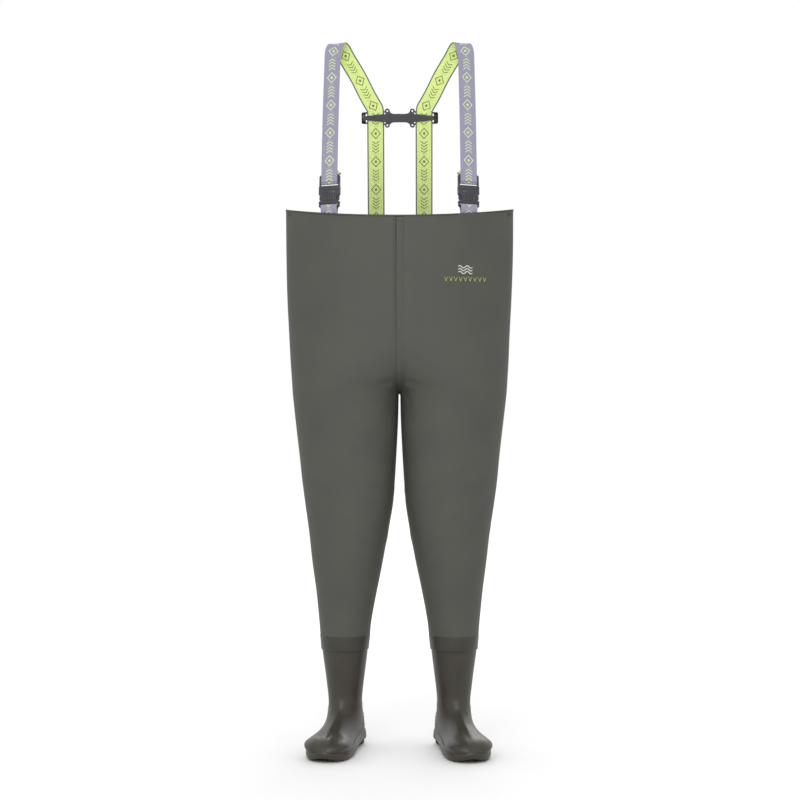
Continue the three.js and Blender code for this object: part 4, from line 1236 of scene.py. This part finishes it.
def stitch_box(name, node, centre, outward):
    """Lock stitches round a box, with a cross in it, over the sewn end of webbing."""
    across = unit(np.cross(outward, (0, 0, 1)))
    up = np.array((0, 0, 1.0))
    corners = {"a": (-16, -36), "b": (16, -36), "c": (16, -12), "d": (-16, -12)}
    thread = ((-1.15, -0.25, 0.2), (-0.7, 0.12, 0.32), (0.7, 0.12, 0.32), (1.15, -0.25, 0.2))
    shape = ([], [], [])
    for first, last in ("ab", "bc", "cd", "da", "ac", "bd"):
        start, end = np.array(corners[first], float), np.array(corners[last], float)
        length = np.linalg.norm(end - start)
        count = int(length // 3)
        direction = (end - start) / length
        side = np.array((-direction[1], direction[0]))
        for k in range(count):
            middle = start + direction * (k + 0.5) * length / count
            rings = []
            for along, rise, half in thread:
                ring = []
                for turn in np.linspace(0, 2 * math.pi, 6, endpoint=False):
                    x, z = middle + direction * along + side * half * math.cos(turn)
                    ring.append(centre + across * x + up * z + outward * (rise + half * math.sin(turn)))
                rings.append(ring)
            add_solid(shape, rings, 0.3)
    piece = make_piece(name, *shape, [THREAD])
    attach(piece, "torso")
    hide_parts(node)


def stitching(name, side):
    """Stitches over both sewn ends of one brace: inside the front of the rim and inside the back."""
    line = front_line(side)
    inward = WEB_THICK + 2 * GAP + 0.1
    centre = line["origin"] - line["outward"] * inward
    stitch_box(f"front_stitches_{name}", f"front_stitching_{name}", centre, -line["outward"])
    wall = wall_depth(BACK_X, RIM_WEB_HEIGHT, -(BEHIND_PATCH + WEB_THICK + 0.1))
    centre = np.array((side * BACK_X, wall, RIM_WEB_HEIGHT))
    stitch_box(f"back_stitches_{name}", f"back_stitching_{name}", centre, -unit((side * 0.08, 1, 0)))


def anchor_patch(name, side, x, back, node):
    """Reinforcement welded inside the wall behind sewn webbing, with rounded corners."""
    half, top, low = 26, 1208, 1166
    near = CAD_FABRIC + GAP + BOW
    rows, columns = 9, 15
    outer = np.zeros((rows, columns, 3))
    inner = np.zeros_like(outer)
    for i in range(rows):
        for j in range(columns):
            v, u = 2 * i / (rows - 1) - 1, 2 * j / (columns - 1) - 1
            round_u = u * math.sqrt(max(1 - 0.08 * v**8, 0))
            z = (top + low) / 2 + (top - low) / 2 * v * math.sqrt(1 - 0.12 * u**8)
            place = x + half * round_u
            for grid, inset in ((outer, near), (inner, near + PATCH_WALL)):
                grid[i, j] = (side * place, back * wall_depth(place, z, -inset), z)
    piece = two_skins(name, outer, inner, False, [TAPE_SKIN, TAPE_SKIN], (0, rows - 1))
    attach(piece, "torso")
    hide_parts(node)


def inner_tape():
    """Tape inside the long seam, and the gusset over it at the crotch."""

    def crotch(y, above):
        return np.array((0, y, CROTCH + 11 + 0.004 * y * y + above)), unit((0, 0.008 * y, -1))

    def inset(z):
        return CAD_FABRIC + GAP + 1.6 + max(0.0, 0.015 * (920 - z))

    heights = (1212, 1120, 1030, 960, 920, 890, 868, 850)
    front = [(np.array((0, -wall_depth(0, z, -inset(z)), z)), np.array((0, -1.0, 0))) for z in heights]
    back = [(p * (1, -1, 1), -n) for p, n in reversed(front)]
    reach = (-40, -20, 0, 20, 40)
    stations = front + [crotch(y, 0) for y in reach] + back
    tape, _ = ribbon("inner_seam_tape", stations, TAPE_SKIN, width=20, thick=1.2)
    over = [crotch(y, 1.95) for y in reach]
    gusset, _ = ribbon("gusset", over, TAPE_SKIN, width=46, thick=1.5)
    for piece, node in ((tape, "rise_seam_tape"), (gusset, "crotch_gusset")):
        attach(piece, "torso")
        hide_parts(node)


# ---------------------------------------------------------------- buckles and connector


def soften(node, width=0.5):
    """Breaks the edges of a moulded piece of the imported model, and gives it its plastic."""
    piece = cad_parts[node]
    flatten = piece.modifiers.new("flatten", "DECIMATE")
    flatten.decimate_type = "DISSOLVE"
    flatten.angle_limit = math.radians(1)
    rounding = piece.modifiers.new("round", "BEVEL")
    rounding.width = width / 1000
    rounding.segments = 2
    rounding.limit_method = "ANGLE"
    rounding.angle_limit = math.radians(35)
    rounding.harden_normals = True
    piece.data.materials.clear()
    piece.data.materials.append(ACETAL)


def buckle_ribs(name, side):
    """Moulded relief on the buckle: grip ribs on the socket, and a thumb pad on each sprung arm."""
    line = front_line(side)
    base, shape = 4.8, ([], [], [])

    def bar(s0, s1, middle, half, high):
        rings = []
        for n, inset in ((base, 0.0), (high - 0.3, 0.0), (high, 0.3)):
            corners = ((s0 + inset, -1), (s1 - inset, -1), (s1 - inset, 1), (s0 + inset, 1))
            rings.append([on_line(line, s, n, middle + hand * (half - inset)) for s, hand in corners])
        add_solid(shape, rings, 4)

    for k in (-1, 0, 1):
        bar(34, 48.5, 5.2 * k, 1.5, 6.4)
    for hand in (-1, 1):
        bar(35.5, 47, hand * 11.5, 2.4, 6.2)
    bar(52.5, 60.5, 0, 15, 5.6)
    ribs = make_piece(f"buckle_ribs_{name}", *shape, [ACETAL])
    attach(ribs, "torso")


def on_connector(across, up, out):
    """A place on the connector, from its middle: across the back, up the webbing, out towards the wearer."""
    lean = math.hypot(1, BACK_LEAN)
    depth = BACK_DEPTH + CONNECTOR_DROP * BACK_LEAN - (BACK_LEAN * up + out) / lean
    return (across, depth, BACK_TOP - CONNECTOR_DROP + (up - BACK_LEAN * out) / lean)


def moulded_plate(name, outline, low, high):
    """A flat moulded plate on the connector with its upper edge broken."""
    outline = np.array(outline, float)
    middle = outline.mean(axis=0)
    rings = []
    for out, inset in ((low, 0.0), (high - 0.5, 0.0), (high - 0.15, 0.25), (high, 0.6)):
        reach = np.linalg.norm(outline - middle, axis=1, keepdims=True)
        ring = outline - (outline - middle) / reach * inset
        rings.append([on_connector(x, y, out) for x, y in ring])
    plate = closed_loft(name, rings, ACETAL)
    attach(plate, "connector")


def connector_details():
    """Rounded end brackets of the connector, and concave webs from its bar to its four eyes."""
    ends = {"upper": 1, "lower": -1}
    for name, side in SIDES.items():
        for level, up in ends.items():
            turn = np.linspace(0, math.pi / 2, 9)
            web = [(side * (12 + 12.4 * math.sin(a)), up * (19 - 9.2 * math.cos(a))) for a in turn]
            rest = ((25.4, 15), (27.2, 12.8), (30, 11.4), (31, 9.4), (12, 9.4))
            web += [(side * x, up * y) for x, y in rest]
            moulded_plate(f"connector_web_{level}_{name}", web, 1.4, 4.2)
        corners = ((83.3, 9), (90.2, 9), (90.2, -9), (83.3, -9))
        bracket = []
        for (x, y), first in zip(corners, (135, 45, -45, -135)):
            for step in (-45, -15, 15, 45):
                a = math.radians(first + step)
                bracket.append((side * (x - 3.5 * (x > 86) + 3.5 * math.cos(a)), y + 4.5 * math.sin(a)))
        moulded_plate(f"connector_end_{name}", bracket, 1.3, 4.9)


# ---------------------------------------------------------------- print on the chest


def chest_print():
    """A small generic mark at the wearer's left: three waves over a row of ticks."""
    centre_x, centre_z = 152, 1098

    def strip(shape, places, half):
        line = np.array(places, float)
        along = np.gradient(line, axis=0)
        along /= np.linalg.norm(along, axis=1, keepdims=True)
        side = np.stack([-along[:, 1], along[:, 0]], axis=1)
        taper = np.minimum(1, 0.25 + 2.4 * np.sin(np.linspace(0, math.pi, len(line))))
        rings = []
        for place, across, share in zip(line, side, taper):
            ring = []
            for hand, lift in ((-1, 0.02), (-1, 0.16), (1, 0.16), (1, 0.02)):
                x, z = place + across * hand * half * share + (centre_x, centre_z)
                wall = np.array([[x, -wall_depth(x, z, 0), z]])
                raised = relief(wall, np.array([[0.0, -1.0, 0.0]]), 1)[0]
                ring.append((x, raised[1] - 0.25 - lift, z))
            rings.append(ring)
        add_solid(shape, rings, 2)

    waves, ticks = ([], [], []), ([], [], [])
    for row in range(3):
        x = np.linspace(-17, 17, 41)
        strip(waves, np.stack([x, 14 - 6.5 * row + 2.6 * np.sin(x * 0.37)], axis=1), 1.0)
    for x in range(-44, 45, 11):
        strip(ticks, [(x - 3.4, -9), (x, -18.5), (x + 3.4, -9)], 1.05)
    for label, shape, ink in (("waves", waves, PALE_INK), ("bars", ticks, LIME_INK)):
        piece = make_piece(f"chest_print_{label}", *shape, [ink])
        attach(piece, "torso")


# ---------------------------------------------------------------- stage, light and camera


def stage():
    """A pale floor just under the soles, soft light from front and back, and a light on the floor behind."""
    mesh = bpy.data.meshes.new("floor")
    reach = 14
    z = GROUND - 0.0005
    corners = [(-reach, -reach, z), (reach, -reach, z), (reach, reach, z), (-reach, reach, z)]
    mesh.from_pydata(corners, [], [(0, 1, 2, 3)])
    floor = bpy.data.objects.new("floor", mesh)
    bpy.context.scene.collection.objects.link(floor)
    paper = new_material("white paper sweep", Base_Color=(0.8, 0.8, 0.8, 1), Roughness=0.9)
    mesh.materials.append(paper)

    world = bpy.data.worlds.new("studio")
    world.use_nodes = True
    world.node_tree.nodes["Background"].inputs["Color"].default_value = (1, 1, 1, 1)
    world.node_tree.nodes["Background"].inputs["Strength"].default_value = 1.0
    bpy.context.scene.world = world

    def area(name, place, aim, size, size_y, watts):
        light = bpy.data.lights.new(name, "AREA")
        light.shape = "RECTANGLE"
        light.size, light.size_y, light.energy = size, size_y, watts
        lamp = bpy.data.objects.new(name, light)
        bpy.context.scene.collection.objects.link(lamp)
        lamp.location = place
        lamp.rotation_mode = "QUATERNION"
        lamp.rotation_quaternion = (Vector(aim) - Vector(place)).to_track_quat("-Z", "Y")

    middle = GROUND + 0.9
    area("front softbox", (-0.4, -3.6, middle + 1.6), (0, 0, middle + 0.2), 2.2, 2.2, 60)
    area("back softbox", (0.4, 3.6, middle + 1.6), (0, 0, middle + 0.2), 2.2, 2.2, 40)
    area("floor light", (0, 9.5, GROUND + 4), (0, 9.51, GROUND), 24, 10, 420)


def camera():
    """Straight ahead from thigh height, 4.5 m away, a touch to the wearer's left."""
    distance, height, across, frame_width = 4.5, 0.808, 0.0012, 1.864
    azimuth = math.radians(1)
    data = bpy.data.cameras.new("camera")
    data.sensor_width = 36
    data.lens = data.sensor_width * distance / frame_width
    made = bpy.data.objects.new("camera", data)
    bpy.context.scene.collection.objects.link(made)
    right = Vector((math.cos(azimuth), math.sin(azimuth), 0))
    back = Vector((math.sin(azimuth), -math.cos(azimuth), 0))
    made.location = back * distance + right * across + Vector((0, 0, GROUND + height))
    made.rotation_euler = (math.radians(90), 0, azimuth)
    bpy.context.scene.camera = made
    bpy.context.scene.view_settings.view_transform = "Standard"


camera()
stage()
rim_hem()
rise_seam()
inner_tape()
chest_print()
for name, side in SIDES.items():
    trouser_half(name, side)
    lower_leg(name, side)
    weld_band(name, side)
    boot(name, side)
    foot_rand(name, side)
    outsole(name, side)
    insole(name, side)
    front_length = front_brace(name, side)
    shoulder_brace(name, side, front_length)
    brace_tail(name, side)
    anchor_loop(name, side)
    anchor_patch(f"front_patch_skin_{name}", side, BRACE_X, -1, f"front_patch_{name}")
    anchor_patch(f"back_patch_skin_{name}", side, BACK_X, 1, f"back_patch_{name}")
    stitching(name, side)
    for node in ("female_buckle", "male_buckle", "release_arm_outer", "release_arm_inner"):
        soften(f"{node}_{name}")
    buckle_ribs(name, side)
soften("cross_connector")
connector_details()
